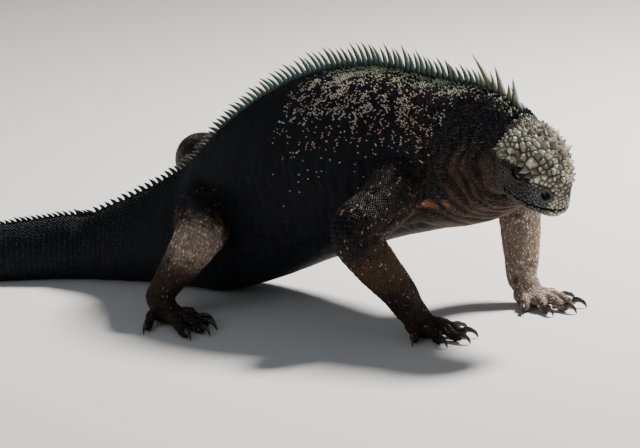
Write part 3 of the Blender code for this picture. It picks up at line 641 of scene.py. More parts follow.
# Folds of the neck, as arcs round the cheek in the head's axes: their centre, then radius, width and depth.
FOLD_CENTRE = (36.0, 14.0)
NECK_FOLDS = (
    (45, 3.6, 5.2), (52.5, 2.2, 3.0), (60, 2.2, 3.4), (68.5, 2.8, 4.0), (77, 2.2, 2.6), (87, 2.6, 3.2),
    (98, 2.4, 1.8),
)
# Creases of the limbs: share of the way down, width, depth, and the side that they are deepest on.
LIMB_CREASES = (
    (0.34, 2.0, 0.54, 0.6), (0.39, 1.8, 0.42, -1.2), (0.52, 2.2, 0.54, 3.0), (0.57, 2.0, 0.48, 2.4),
    (0.62, 2.0, 0.48, -2.6), (0.93, 1.8, 0.54, 0.0), (0.98, 1.8, 0.48, 2.6),
)
FLANK_WRINKLE_STEP = 12.5
TOE_WRINKLE_STEP = 5.0
EYE_HOLLOW = 11.5
EYE_HOLLOW_DEPTH = 3.0
LUMP_SIZE = 19.0
HUE_SIZE = 14.0


def neck_folds(points, lumps):
    """Depth of the folds between the jaw and the shoulder at points in millimetres, as a negative push."""
    x, _, z = in_head(points).T
    reach = np.hypot(x - FOLD_CENTRE[0], z - FOLD_CENTRE[1]) + 5.0 * lumps
    share = smooth_step(30, 16, z + 0.1 * x) * smooth_step(26, 14, x) * smooth_step(-84, -64, x)
    push = np.zeros(len(points))
    for number, (radius, width, depth) in enumerate(NECK_FOLDS):
        broken = rough(points + 31.0 * number, 15.0)
        push += crease(reach - radius + 2.0 * broken, width, depth * np.clip(0.85 + 1.1 * broken, 0.25, 1.3))
    return push * share


def skin_push(points, owner, chains):
    """How far the skin is pushed out at each point: all of its folds, wrinkles and the mouth."""
    round_side = np.abs(chains[OF_BODY].locate(points)[1])
    low_lumps, fine_lumps = rough(points, LUMP_SIZE), rough(points, 6.0)
    push = 0.45 * low_lumps + 0.25 * fine_lumps + neck_folds(points, low_lumps) * (0.8 + 0.5 * fine_lumps)
    forward, height = points[:, 0], points[:, 2]

    # Upright wrinkles on the flank, deeper low down, and the long fold between arm and leg.
    flank = smooth_step(0.9, 1.5, round_side) * (1 - smooth_step(2.4, 2.8, round_side)) * (owner == OF_BODY)
    flank = flank * smooth_step(10, 40, forward) * smooth_step(285, 255, forward)
    waves = np.sin((forward + 9.0 * low_lumps) * math.tau / FLANK_WRINKLE_STEP)
    push += flank * (-0.7 - 0.7 * waves) * np.clip(0.6 + 1.2 * low_lumps, 0, 1.4)
    push += crease(height - (52 + 0.12 * forward + 5 * low_lumps), 3.4, 1.6) * flank

    # Loose skin in part rings at elbows and knees, wrists and ankles, and between the joints of the toes.
    for number, chain in enumerate(chains[2:], 2):
        mine = np.flatnonzero(owner == number)
        if not len(mine):
            continue
        reached, turn, _, _ = chain.locate(points[mine])
        reached = reached + 3.0 * low_lumps[mine]
        if not chain.name.startswith(("arm", "leg")):
            push[mine] += 0.28 * np.sin(reached * math.tau / TOE_WRINKLE_STEP) - 0.2
            continue
        for share, width, depth, towards in LIMB_CREASES:
            part = smooth_step(-0.5, 0.6, np.cos(turn - towards) + 0.5 * low_lumps[mine])
            push[mine] += crease(reached - chain.lengths[-1] * share, width, depth) * part

    # The eye bulges in a hollow under the brow, and the mouth is a groove between the lips.
    x, y, z = in_head(points).T
    hollow = np.hypot(x - EYE_AT[0], z - EYE_AT[2]) / EYE_HOLLOW
    push += -EYE_HOLLOW_DEPTH * np.exp(-hollow ** 4) * (owner == OF_HEAD) * (np.abs(y) > 12)
    push += crease(z - mouth_height(x), 1.15, 1.9) * (owner == OF_HEAD) * smooth_step(19, 23, x)
    return push


def add_folds(skin, chains):
    """Sets the skin a little inside the solids, presses its folds into it and keeps it above the floor."""
    points, normals = points_of(skin.data)
    push = skin_push(points, owners(chains, points), chains) - SKIN_DEPTH
    points += normals * push[:, None]
    points[:, 2] = np.maximum(points[:, 2], SKIN_LOWEST)
    set_points(skin.data, points)


def ball(centre, radius, stretch=(1, 1, 1), segments=48):
    bm = bmesh.new()
    turn = Matrix(HEAD_AXES).transposed().to_4x4()
    bmesh.ops.create_uvsphere(
        bm, u_segments=segments, v_segments=segments * 2 // 3, radius=radius,
        matrix=Matrix.Translation(centre) @ turn @ Matrix.Diagonal((*stretch, 1)),
    )
    return new_object("ball", bm)


SLIT_HALF_LENGTH = 6.3
SLIT_HALF_HEIGHT = 2.2
SLIT_LEAN = math.radians(-14.0)
# Depth out from the eye's centre and share of the opening's size, at both ends of its cutter.
SLIT_ENDS = ((0, 0.6), (10, 1.25))
# Shift and stretch of the balls that open the ears and the nostrils.
EAR_CUP = ((0, 1.6, 0), (0.8, 0.75, 1.1))
NOSTRIL_HOLE = ((1, 2, 1.5), (1.15, 2.6, 1.3))


def slit_point(share, angle):
    """Across the eye's opening, in the head's x and z from the eye's centre."""
    a, b = SLIT_HALF_LENGTH * share * math.cos(angle), SLIT_HALF_HEIGHT * share * math.sin(angle)
    return a * math.cos(SLIT_LEAN) - b * math.sin(SLIT_LEAN), a * math.sin(SLIT_LEAN) + b * math.cos(SLIT_LEAN)


def eye_slit(side):
    """The almond-shaped opening between the lids, as a cutter that tapers inwards."""
    bm = bmesh.new()
    rings = []
    for depth, share in SLIT_ENDS:
        outline = [slit_point(share, angle) for angle in angles(40)]
        rings.append([head_side(EYE_AT, side, (x, depth, z)) for x, z in outline])
    add_loft(bm, rings)
    return new_object("slit", bm)


def open_head(skin):
    """Lids with their slits, eye sockets, nostrils and the shallow cups of the ears."""
    boolean(skin, [ball(head_side(EYE_AT, side), LID_RADIUS * UNIT) for side in (-1, 1)], "UNION")
    cutters = []
    for side in (-1, 1):
        cutters.append(ball(head_side(EYE_AT, side), EYE_RADIUS * UNIT + GAP))
        cutters.append(eye_slit(side))
        cutters.append(ball(head_side(EAR_AT, side, EAR_CUP[0]), EAR_RADIUS * UNIT, EAR_CUP[1]))
        nostril = head_side(NOSTRIL_AT, side, NOSTRIL_HOLE[0])
        cutters.append(ball(nostril, NOSTRIL_RADIUS * UNIT, NOSTRIL_HOLE[1], 24))
    boolean(skin, cutters, "DIFFERENCE")


def beside(place, side, shift=(0, 0, 0)):
    """A place on one side of the head, shifted ahead, out and up, in the head's own axes."""
    return place[0] + shift[0], side * (place[1] + shift[1]), place[2] + shift[2]


def mixed(colours, other, share):
    """Colours moved towards another colour, by a share for each."""
    share = np.clip(share, 0, 1)[:, None]
    return colours * (1 - share) + np.array(other) * share


# Where the skin has a colour of its own, in places partly painted sunlight: centre, reach, colour and strength.
MARKINGS = (
    ((302, -44, 134), 34, RIDGE, 0.75), ((310, -14, 96), 62, THROAT, 0.9), ((262, 6, 80), 66, THROAT, 0.55),
    ((246, -66, 72), 38, THROAT, 1.0), ((242, -100, 58), 40, BROWN, 0.9), ((252, 66, 92), 36, THROAT, 0.6),
    # The tan of the left forearm and hand is partly their colour and partly painted sunlight.
    ((274, 68, 50), 50, TAN, 0.9), ((300, 60, 8), 46, TAN, 0.85), ((240, -96, 66), 34, EARTH, 0.9),
    # The tan of the right knee is partly its colour and partly painted sunlight.
    ((272, -66, 8), 44, BROWN, 0.9), ((66, -106, 62), 38, TAN, 1.0), ((-68, 66, 96), 30, TAN, 0.8),
    ((44, -122, 10), 60, BROWN, 0.9), ((-78, 112, 10), 60, BROWN, 0.9),
    ((264.0, -49.5, 107.0), 6, RUST, 1.2), ((269.0, -47.5, 107.6), 6, RUST, 1.2),
    ((280.3, -45.0, 108.2), 5, RUST, 1.1),
)


def head_colours(places, lumps):
    """The head's colours at points in its own axes: pale above, dark on the cheeks, grey-green on the jaw, with
    a painted shadow under the brow.
    """
    x, y, z = places.T
    pale = smooth_step(10, 16, z + 0.22 * x - 4 + 3 * lumps) * smooth_step(-3, 11, x + 6 * lumps)
    front = smooth_step(50, 59, x + 3 * lumps) * np.maximum(smooth_step(-9, 3, z), smooth_step(58, 61.5, x))
    lips = smooth_step(-9, -13, z) * smooth_step(22, 38, x + 5 * lumps) * (1 - front)
    from_nostril = away_from(np.stack((x, np.abs(y), z), 1), beside(NOSTRIL_AT, 1, NOSTRIL_RIM))
    from_brow_shadow = np.hypot(x - np.clip(x, 19, 40), z - 9.6 + 0.13 * (x - 30))
    colours = np.tile(CHEEK, (len(places), 1))
    for colour, share in (
        (SLATE, smooth_step(38, 52, x) * (1 - 0.3 * lumps)),
        (HEAD_GREY, np.maximum(pale, 0.85 * front)),
        (LIP_GREY, 0.75 * lips),
        (THROAT, smooth_step(-17, -26, z) * (1 - smooth_step(40, 56, x))),
        (BROWN, 0.7 * smooth_step(2, -14, x) * smooth_step(4, -10, z)),
        (SLATE, 0.9 * smooth_step(9.0, 6.0, from_nostril + 2 * lumps)),
        # Painted shadow under the brow: a black band over the eye.
        (BLACK, 0.9 * smooth_step(6.0, 3.0, from_brow_shadow) * (np.abs(y) > 13)),
    ):
        colours = mixed(colours, colour, share)
    return colours


def colours_at(points, owner):
    """The skin's colour at points in millimetres, before its fine grain, with painted shade in the folds of the
    neck.
    """
    lumps = rough(points, HUE_SIZE)
    edges = 0.2 * lumps + 0.25 * rough(points, 4.5)
    colours = np.tile(DARK, (len(points), 1))
    for centre, reach, colour, strength in MARKINGS:
        away = away_from(points, centre) / reach
        colours = mixed(colours, colour, strength * smooth_step(1.0, 0.35, away + edges))
    of_head = owner == OF_HEAD
    if of_head.any():
        colours[of_head] = head_colours(in_head(points[of_head]), lumps[of_head])
    # Painted shade: the folds of the neck are darkened by their depth.
    shade = 1 - 0.85 * np.clip(-neck_folds(points, rough(points, LUMP_SIZE)) / 1.9, 0, 1)
    return colours * (shade * (1 + 0.25 * lumps))[:, None]


def skin_colours(skin, chains):
    """The skin between the scales is darker than they are, on the head much darker as painted shade in the
    grooves, and painted black as shade in nostrils, ears and mouth.
    """
    points, _ = points_of(skin.data)
    owner = owners(chains, points)
    # On the head the skin in the grooves between scutes is darkened as painted shade.
    colours = colours_at(points, owner) * np.where(owner == OF_HEAD, 0.14, 0.7)[:, None]
    places = in_head(points)
    # Painted shade: nostrils and ears are black inside.
    for side in (-1, 1):
        for (x, y, z), reach in ((NOSTRIL_AT, 5.2), (EAR_AT, 4.0)):
            away = away_from(places, (x, side * y, z + 1))
            colours = mixed(colours, BLACK, smooth_step(reach, reach - 1.0, away))
    # Painted shade: the mouth's groove is black.
    x, _, z = places.T
    mouth = smooth_step(1.7, 0.9, np.abs(z - mouth_height(x))) * smooth_step(19, 22, x)
    return mixed(colours, BLACK, mouth * (owner == OF_HEAD))


def paint(mesh, colours):
    """Stores the marking's colour for each point of a mesh."""
    layer = mesh.color_attributes.new(name="Marking", type="FLOAT_COLOR", domain="POINT")
    full = np.ones((len(colours), 4), np.float32)
    full[:, :3] = np.clip(colours, 0.002, 1)
    layer.data.foreach_set("color", full.ravel())


def coat_object(name, points, triangles, colours, places, smooth=False):
    """An object from points in millimetres and triangles, with colours and places in the bake map."""
    mesh = bpy.data.meshes.new(name)
    mesh.vertices.add(len(points))
    mesh.vertices.foreach_set("co", (points * UNIT).astype(np.float32).ravel())
    mesh.loops.add(triangles.size)
    mesh.loops.foreach_set("vertex_index", triangles.astype(np.int32).ravel())
    mesh.polygons.add(len(triangles))
    mesh.polygons.foreach_set("loop_start", np.arange(0, triangles.size, 3, dtype=np.int32))
    mesh.polygons.foreach_set("use_smooth", np.full(len(triangles), smooth))
    mesh.update(calc_edges=True)
    paint(mesh, colours)
    layer = mesh.uv_layers.new(name="OFBake")
    layer.uv.foreach_set("vector", np.clip(places, 0, 1).astype(np.float32).ravel())
    return link_object(name, mesh)


# A scale that points back along its first axis: the four corners of its root and the two ends of its keel.
SCALE_SHAPE = np.array((
    (-0.98, 0, 0), (-0.05, 0.52, 0), (1.1, 0, 0), (-0.05, -0.52, 0), (-0.3, 0, 0.72), (0.6, 0, 1),
))
SCALE_FACES = np.array(((0, 4, 1), (1, 4, 5), (1, 5, 2), (0, 3, 4), (3, 5, 4), (3, 2, 5), (0, 1, 2), (0, 2, 3)))
ROW_SHARE = 0.68
COLUMN_SHARE = 1.2
SCALE_SUNK = 0.3
SCALE_LOWEST = 0.05
PATCH = 0.003
SHEEN = 0.13
GLOSS_SPREAD = 0.12
COAT_LIMIT = 24000


def lattice_points(a, b):
    """The whole-number points of two fields given at the corners of triangles: triangle numbers and weights."""
    low_a, low_b = np.ceil(a.min(1)), np.ceil(b.min(1))
    width = a[:, 1:] - a[:, :1]
    depth = b[:, 1:] - b[:, :1]
    area = width[:, 0] * depth[:, 1] - width[:, 1] * depth[:, 0]
    usable = np.abs(area) > 1e-9
    span_a = int(min(np.floor(a.max(1) - low_a)[usable].max(), 4))
    span_b = int(min(np.floor(b.max(1) - low_b)[usable].max(), 4))
    numbers, weights = [], []
    for i in range(span_a + 1):
        for j in range(span_b + 1):
            to_a, to_b = low_a + i - a[:, 0], low_b + j - b[:, 0]
            second = (to_a * depth[:, 1] - to_b * width[:, 1]) / np.where(usable, area, 1)
            third = (to_b * width[:, 0] - to_a * depth[:, 0]) / np.where(usable, area, 1)
            found = np.flatnonzero(usable & (second >= 0) & (third >= 0) & (second + third < 1))
            numbers.append(found)
            weights.append(np.stack((1 - second - third, second, third), 1)[found])
    numbers, weights = np.concatenate(numbers), np.concatenate(weights)
    order = np.lexsort((weights[:, 1], numbers))
    return numbers[order], weights[order]


def gradient(corners, values):
    """How a field changes across each triangle."""
    first, second = corners[:, 1] - corners[:, 0], corners[:, 2] - corners[:, 0]
    normal = np.cross(first, second)
    size = np.maximum((normal ** 2).sum(1), 1e-12)[:, None]
    rise, run = (values[:, 1] - values[:, 0])[:, None], (values[:, 2] - values[:, 0])[:, None]
    return (rise * np.cross(second, normal) + run * np.cross(normal, first)) / size


def unit(vectors):
    return vectors / np.maximum(np.linalg.norm(vectors, axis=1), 1e-9)[:, None]


def spacing_along(chain, along):
    """Distance between rows of scales."""
    return np.interp(along / chain.lengths[-1], *chain.spacing)


def scatter(chain, corners, normals, draw):
    """Rows of scales on a chain's triangles: root, normal, lie, across, length, width, along and angle."""
    along, angle, radius, _ = chain.locate(corners.reshape(-1, 3))
    steps = np.arange(-40.0, chain.lengths[-1] + 40.0, 1.0)
    rows_to = np.concatenate(([0.0], np.cumsum(1 / (ROW_SHARE * spacing_along(chain, steps)))))[:-1]
    a = np.interp(along, steps, rows_to).reshape(-1, 3)
    angle = angle.reshape(-1, 3)
    wraps = (angle.max(1) - angle.min(1)) > math.pi
    angle[wraps] = np.where(angle[wraps] < 0, angle[wraps] + math.tau, angle[wraps])
    spacing = spacing_along(chain, along).reshape(-1, 3)
    b = angle * radius.reshape(-1, 3) / (spacing * COLUMN_SHARE) - a / 2
    numbers, weights = lattice_points(a, b)
    corners, normals = corners[numbers], normals[numbers]
    down, over = gradient(corners, a[numbers]), gradient(corners, b[numbers])
    up = unit((normals * weights[:, :, None]).sum(1))
    lie = unit(down - up * (down * up).sum(1)[:, None])
    across = np.cross(up, lie)
    usual = (spacing[numbers] * weights).sum(1)
    length = np.clip(1 / np.maximum(np.linalg.norm(down, axis=1), 1e-6), 0.4 * usual, 1.1 * usual)
    width = np.clip(1 / np.maximum(np.abs((over * across).sum(1)), 1e-6), 0.6 * usual, 1.9 * usual)
    roots = (corners * weights[:, :, None]).sum(1)
    shift = draw.uniform(-0.13, 0.13, (len(roots), 2))
    roots = roots + lie * (length * shift[:, 0])[:, None] + across * (width * shift[:, 1])[:, None]
    at = (along.reshape(-1, 3)[numbers] * weights).sum(1)
    turn = (angle[numbers] * weights).sum(1)
    return roots, up, lie, across, length, width, at, turn


def body_flecks(roots, at, side, broad, patches, fine):
    """On the back and flank: how usual pale tips are, part fleck and part painted highlight, how pale the plain
    ones, and the tips' colour.
    """
    forward = roots[:, 0]
    high = smooth_step(0.98, 0.6, side + 0.35 * broad)
    trunk = smooth_step(105, 160, forward + 25 * broad) * (1 - smooth_step(255, 285, forward))
    columns = smooth_step(0.2, 0.75, np.sin(forward * math.tau / 7.5 + 2.5 * patches))
    flank = smooth_step(1.3, 1.0, side) * trunk * smooth_step(0.5, 0.8, side)
    usual = high * trunk * np.clip(0.34 + 0.9 * patches + 0.5 * broad, 0.04, 0.85)
    usual += 0.30 * columns * flank + 0.02 * trunk * smooth_step(1.9, 1.2, side)
    usual += 0.3 * smooth_step(0.36, 0.14, side) * smooth_step(110, 180, forward)
    tail = smooth_step(-30, -130, forward)
    rings = 0.5 + 0.5 * np.sin(at * math.tau / 5.2)
    plain = 0.02 + 0.14 * fine ** 3 * smooth_step(225, 265, forward) + 0.17 * tail * rings * fine
    colours = mixed(np.tile(PINKISH, (len(roots), 1)), CREAM, 0.4 + 0.9 * broad + 0.4 * patches)
    colours = mixed(colours, LEAF, smooth_step(0.40, 0.2, side) * 0.85)
    return usual, plain, mixed(colours, TAIL_TIP, tail)


def limb_flecks(chain, at, base, broad, patches, fine):
    """The same on a limb, where pale tips are also part painted highlight. The brown of a leg fades in from its
    root.
    """
    bright = smooth_step(0.05, 0.2, base.mean(1))
    usual = 0.04 + 0.1 * patches + 0.2 * bright
    plain = 0.03 + 0.16 * fine ** 2
    if chain.name.startswith("leg"):
        plain *= smooth_step(at.min() + 4, at.min() + 55, at + 12 * broad)
    colours = mixed(np.tile(PINKISH, (len(at), 1)), OCHRE, (0.6 - 0.5 * patches) * (1 - bright))
    return usual, plain, mixed(colours, CREAM, 0.6 * bright)


def scale_mesh(name, chain, found, draw):
    """One joined mesh of scales with their colours and their places in the bake map."""
    roots, up, lie, across, length, width, at, turn = found
    number, side, of_body = len(roots), np.abs(turn), chain.name == "body"
    height = chain.height * np.minimum(1.6 * length, width)
    if of_body:
        height = height * (1 - 0.75 * smooth_step(1.9, 2.6, side)) * (1 + 0.7 * smooth_step(0.5, 0.15, side))
    height = height * draw.uniform(0.7, 1.3, number)
    size = draw.uniform(0.94, 1.06, number)
    x, y, z = SCALE_SHAPE.T[:, None, :, None]
    points = (
        roots[:, None]
        + lie[:, None] * (length * size)[:, None, None] * x
        + across[:, None] * (width * size)[:, None, None] * y
        + up[:, None] * (height[:, None, None] * z - SCALE_SUNK * (z == 0))
    )
    points[:, :, 2] = np.maximum(points[:, :, 2], SCALE_LOWEST)
    triangles = SCALE_FACES[None] + len(SCALE_SHAPE) * np.arange(number)[:, None, None]

    base = colours_at(roots, np.full(number, -1))
    broad, patches = rough(roots, 26.0), rough(roots, 9.0)
    chance, fine, glow = (draw.uniform(0, 1, number) for _ in range(3))
    if of_body:
        usual, plain, tips = body_flecks(roots, at, side, broad, patches, fine)
    else:
        usual, plain, tips = limb_flecks(chain, at, base, broad, patches, fine)
    share = np.where(chance < usual, 0.72 + 0.28 * glow, plain)[:, None] * (1 if of_body else 0.85)
    grain = draw.uniform(0.8, 1.25, number)[:, None]
    # The keel's end is pale, part fleck and part painted highlight, and the root ring is darker as painted
    # shade between the scales.
    tip_and_highlight = base * (1 - share) + tips * share
    own, pale = (0.6, 0.55) if of_body else (0.45, 0.32)
    foot = own * base + pale * share ** 3 * tips
    colours = np.stack([foot * grain] * 4 + [(0.25 * base + 0.75 * tip_and_highlight) * grain, tip_and_highlight * grain], 1)

    spread = np.stack((at, turn), 1)
    spread = (spread - spread.min(0)) / np.maximum(np.ptp(spread, axis=0), 1e-6) * (1 - 2 * PATCH) + PATCH
    corner = spread[:, None, None] + PATCH * 0.45 * SCALE_SHAPE[SCALE_FACES][None, :, :, :2]
    corner[:, 6:] = corner[:, 6:, :1]
    points, triangles, colours = (values.reshape(-1, 3) for values in (points, triangles, colours))
    return coat_object(name, points, triangles, colours, corner, True)


def make_scales(skin, chains):
    """Scales over the whole skin but for the head, in joined meshes of one chain or stretch of it each."""
    skin.data.calc_loop_triangles()
    triangles = np.empty(len(skin.data.loop_triangles) * 3, np.int32)
    skin.data.loop_triangles.foreach_get("vertices", triangles)
    triangles = triangles.reshape(-1, 3)
    points, normals = points_of(skin.data)
    owner = owners(chains, points)[triangles[:, 0]]
    shown = (points[triangles].mean(1)[:, 2] > 1.0) | (normals[triangles].mean(1)[:, 2] > -0.5)
    draw = np.random.default_rng(5)
    made = []
    feet = {}
    for number, chain in enumerate(chains):
        mine = np.flatnonzero((owner == number) & shown)
        if number == OF_HEAD or not len(mine):
            continue
        found = scatter(chain, points[triangles[mine]], normals[triangles[mine]], draw)
        if chain.name.startswith(("hand", "foot")):
            feet.setdefault(chain.name[:-2], []).append((chain, found))
            continue
        order = np.argsort(found[6], kind="stable")
        parts = math.ceil(len(order) / COAT_LIMIT)
        for k, group in enumerate(np.array_split(order, parts)):
            made.append(scale_mesh(f"scales_{chain.name}_{k + 1}", chain, [f[group] for f in found], draw))
    for name, several in feet.items():
        joined = [np.concatenate(columns) for columns in zip(*(found for _, found in several))]
        made.append(scale_mesh(f"scales_{name}", several[0][0], joined, draw))
    return made


def fill(node, inputs):
    """Links a node's inputs to the outputs given for them, and sets those that are given a value."""
    for name, value in inputs.items():
        if isinstance(value, bpy.types.NodeSocket):
            node.id_data.links.new(value, node.inputs[name])
        else:
            node.inputs[name].default_value = value


def add_node(material, kind, inputs, **settings):
    """Adds a node with its settings and inputs, and gives its outputs."""
    node = material.node_tree.nodes.new("ShaderNode" + kind)
    for name, value in settings.items():
        setattr(node, name, value)
    fill(node, inputs)
    return node.outputs


def add_ramp(material, value, stops):
    """Colours between stops, by a value."""
    ramp = material.node_tree.nodes.new("ShaderNodeValToRGB")
    elements = ramp.color_ramp.elements
    for element, (position, colour) in zip(elements, (stops[0], stops[-1])):
        element.position = position
        element.color = (*colour, 1)
    for position, colour in stops[1:-1]:
        elements.new(position).color = (*colour, 1)
    fill(ramp, {"Fac": value})
    return ramp.outputs["Color"]


def new_material(name):
    """A material, its shader, and the object's own coordinates."""
    material = bpy.data.materials.new(name)
    material.use_nodes = True
    place = material.node_tree.nodes.new("ShaderNodeTexCoord").outputs["Object"]
    return material, material.node_tree.nodes["Principled BSDF"], place


def skin_material(name, roughness, bump_size, bump_depth, grain):
    """Skin whose colour comes from its markings, with a fine grain in colour, gloss and relief."""
    material, shader, place = new_material(name)
    marking = add_node(material, "VertexColor", {}, layer_name="Marking")["Color"]
    speckle = add_node(material, "TexNoise", {"Vector": place, "Scale": 420.0, "Detail": 3.0})["Fac"]
    spread = add_node(material, "MapRange", {
        "Value": speckle, "From Min": 0.3, "From Max": 0.7, "To Min": 1 - grain, "To Max": 1 + grain,
    })["Result"]
    gloss = add_node(material, "MapRange", {
        "Value": speckle, "To Min": roughness - GLOSS_SPREAD, "To Max": roughness + GLOSS_SPREAD,
    })["Result"]
    tint = add_node(material, "VectorMath", {0: marking, "Scale": spread}, operation="SCALE")["Vector"]
    relief = add_node(material, "TexVoronoi", {"Vector": place, "Scale": 1 / bump_size})["Distance"]
    bump = add_node(material, "Bump", {
        "Height": relief, "Strength": 0.6, "Distance": bump_depth,
    }, invert=True)["Normal"]
    fill(shader, {"Base Color": tint, "Roughness": gloss, "Normal": bump, "Specular IOR Level": SHEEN})
    return material


# The camera stands where the photograph's did: angles in degrees, distances in metres.
CAMERA_AZIMUTH = 37.0
CAMERA_ELEVATION = 12.0
CAMERA_ROLL = -3.0
CAMERA_DISTANCE = 2.6
CAMERA_TARGET = (0.12, 0.0, 0.10)
TARGET_PIXEL = (322, 186)
IMAGE_SIZE = (640, 448)
PIXELS_PER_METRE = 1170.0

FLOOR_RADIUS = 30.0
FLOOR_COLOUR = (0.80, 0.785, 0.755, 1)
FLOOR_ROUGHNESS = 0.85
WORLD_COLOUR = (0.80, 0.86, 0.95, 1)
WORLD_STRENGTH = 0.17
# Lights: metres to the right of, behind and above what they are aimed at, then size, power and colour.
LIGHT_AIM = Vector((0.1, 0, 0.1))
LIGHTS = (
    ("key", (1.15, 0.62, 1.45), 0.42, 112, (1.0, 0.97, 0.93)),
    ("fill", (-1.3, -1.4, 1.0), 1.6, 5, (0.86, 0.92, 1.0)),
)


def add_camera():
    """The camera, and its level right and forward directions."""
    azimuth, elevation, roll = map(math.radians, (CAMERA_AZIMUTH, CAMERA_ELEVATION, CAMERA_ROLL))
    level = math.cos(elevation)
    view = Vector((-math.sin(azimuth) * level, math.cos(azimuth) * level, -math.sin(elevation)))
    right = Vector((math.cos(azimuth), math.sin(azimuth), 0))
    up = right.cross(view)
    turned_right = right * math.cos(roll) + up * math.sin(roll)
    turned_up = up * math.cos(roll) - right * math.sin(roll)
    lens = bpy.data.cameras.new("camera")
    camera = link_object("camera", lens)
    turn = Matrix((turned_right, turned_up, -view)).transposed().to_4x4()
    camera.matrix_world = Matrix.Translation(Vector(CAMERA_TARGET) - view * CAMERA_DISTANCE) @ turn
    lens.lens = PIXELS_PER_METRE * CAMERA_DISTANCE * lens.sensor_width / IMAGE_SIZE[0]
    lens.shift_x = (IMAGE_SIZE[0] / 2 - TARGET_PIXEL[0]) / IMAGE_SIZE[0]
    lens.shift_y = (TARGET_PIXEL[1] - IMAGE_SIZE[1] / 2) / IMAGE_SIZE[0]
    bpy.context.scene.camera = camera
    return right, Vector((view.x, view.y, 0)).normalized()


def add_studio(right, forward):
    """A wide pale floor, and soft light from high on the camera's right."""
    bm = bmesh.new()
    bmesh.ops.create_circle(bm, cap_ends=True, segments=96, radius=FLOOR_RADIUS)
    floor = new_object("floor", bm)
    material, shader, _ = new_material("floor")
    fill(shader, {"Base Color": FLOOR_COLOUR, "Roughness": FLOOR_ROUGHNESS})
    floor.data.materials.append(material)
    for name, (to_right, to_back, rise), size, power, colour in LIGHTS:
        light = bpy.data.lights.new(name, "AREA")
        light.shape = "DISK"
        light.size = size
        light.energy = power
        light.color = colour
        made = link_object(name, light)
        made.location = LIGHT_AIM + right * to_right + forward * to_back + Vector((0, 0, rise))
        made.visible_camera = False
        made.rotation_euler = (LIGHT_AIM - made.location).to_track_quat("-Z", "Y").to_euler()
    world = bpy.context.scene.world or bpy.data.worlds.new("world")
    bpy.context.scene.world = world
    world.use_nodes = True
    fill(world.node_tree.nodes["Background"], {"Color": WORLD_COLOUR, "Strength": WORLD_STRENGTH})


# Height at which the tall scutes end, and half the distance between scutes on the crown and the sides, by x.
CROWN_RIM = ((-16, 10, 30, 45, 54.5, 62), (17, 17, 16, 9, 3, -3))
CROWN_RADII = ((-16, -4, 8, 22, 43, 54.5, 61), (0.95, 1.3, 2.0, 3.1, 3.5, 2.7, 1.5))
SIDE_RADII = ((-12, 10, 40, 58), (0.9, 0.95, 1.1, 1.25))
# The rows along the lips: how far apart their scutes are, and how far above and below the mouth they run.
LIP_STEP = 2.6
LIP_RISES = (2.1, -2.2)
# Half the room of a scute in a row at most, and of a place that stays bare.
ROW_RADIUS = 1.15
GHOST_RADIUS = 0.55
# How near the skin has to come to such a place.
SEED_REACH = 3.0
TALL_SHARE = 0.4


def crown_rim(x):
    return np.interp(x, *CROWN_RIM)


def top_share(places):
    """1 on the crown, the forehead and the upper snout, 0 on the cheeks and the jaw."""
    rim = crown_rim(places[:, 0])
    return smooth_step(rim - 2.5, rim + 1.5, places[:, 2])


def scute_radius(places):
    """Half the distance between scutes: wide pyramids on the forehead and snout, grains on the cheeks."""
    top = top_share(places)
    crown = np.interp(places[:, 0], *CROWN_RADII) * (1 + 0.3 * rough(places, 7.0))
    return np.interp(places[:, 0], *SIDE_RADII) * (1 - top) + crown * top


def rim_seeds():
    """Places of the rows along the lips and round eyes and nostrils, and of those that stay bare."""
    rows, holes = [], []
    for side in (-1, 1):
        x = 22.0
        while x < 62.0:
            rows += [(x, side * lip_width(x), mouth_height(x) + rise) for rise in LIP_RISES]
            x += LIP_STEP * (1 if x < 52 else 0.55)
        for k in range(120):
            x = 20 + k * 0.36
            width = lip_width(x) + 1 if x < 62.5 else 0
            holes.append((x, side * width, mouth_height(x)))
        for share, count, kind in ((1.5, 26, rows), (1.95, 24, rows), (1.05, 30, holes), (0.5, 12, holes)):
            for angle in angles(count):
                x, z = slit_point(share, angle)
                depth = math.sqrt(max(LID_RADIUS ** 2 - x * x - z * z, 4.0))
                kind.append(beside(EYE_AT, side, (x, depth, z)))
        rim = beside(NOSTRIL_AT, 1, NOSTRIL_RIM)
        for radius, count, kind in ((5.0, 16, rows), (3.4, 16, holes), (2.0, 9, holes), (0, 1, holes)):
            for angle in angles(count):
                ahead, out = radius * 0.8 * math.cos(angle), -radius * 0.6 * math.cos(angle)
                kind.append(beside(rim, side, (ahead, out, radius * math.sin(angle))))
        for radius, count in ((1.5, 6), (3.2, 12)):
            for angle in angles(count):
                holes.append(beside(EAR_AT, side, (radius * math.cos(angle), 0, radius * math.sin(angle))))
    return np.array(rows), np.array(holes)


def scute_seeds(points, normals, draw):
    """Roots and normals of the scutes, the distance each keeps, and how many of the first ones stay bare."""
    places = in_head(points)
    wanted = scute_radius(places) * (1 - top_share(places) * draw.uniform(-0.12, 0.42, len(places)))

    def nearest(targets):
        aways = (((places - target) ** 2).sum(1) for target in targets)
        return list(dict.fromkeys(int(away.argmin()) for away in aways if away.min() < SEED_REACH ** 2))

    rows, bare = map(nearest, rim_seeds())
    rows = [k for k in rows if k not in bare]
    chosen = bare + rows
    taken = places[chosen]
    limits = np.array([GHOST_RADIUS] * len(bare) + [min(wanted[k], ROW_RADIUS) for k in rows])
    for k in draw.permutation(len(places)):
        away = ((taken - places[k]) ** 2).sum(1)
        if (away < (0.86 * (limits + wanted[k])) ** 2).any():
            continue
        chosen.append(int(k))
        taken = np.vstack((taken, places[k]))
        limits = np.append(limits, wanted[k])
    return points[chosen], normals[chosen], limits, len(bare)


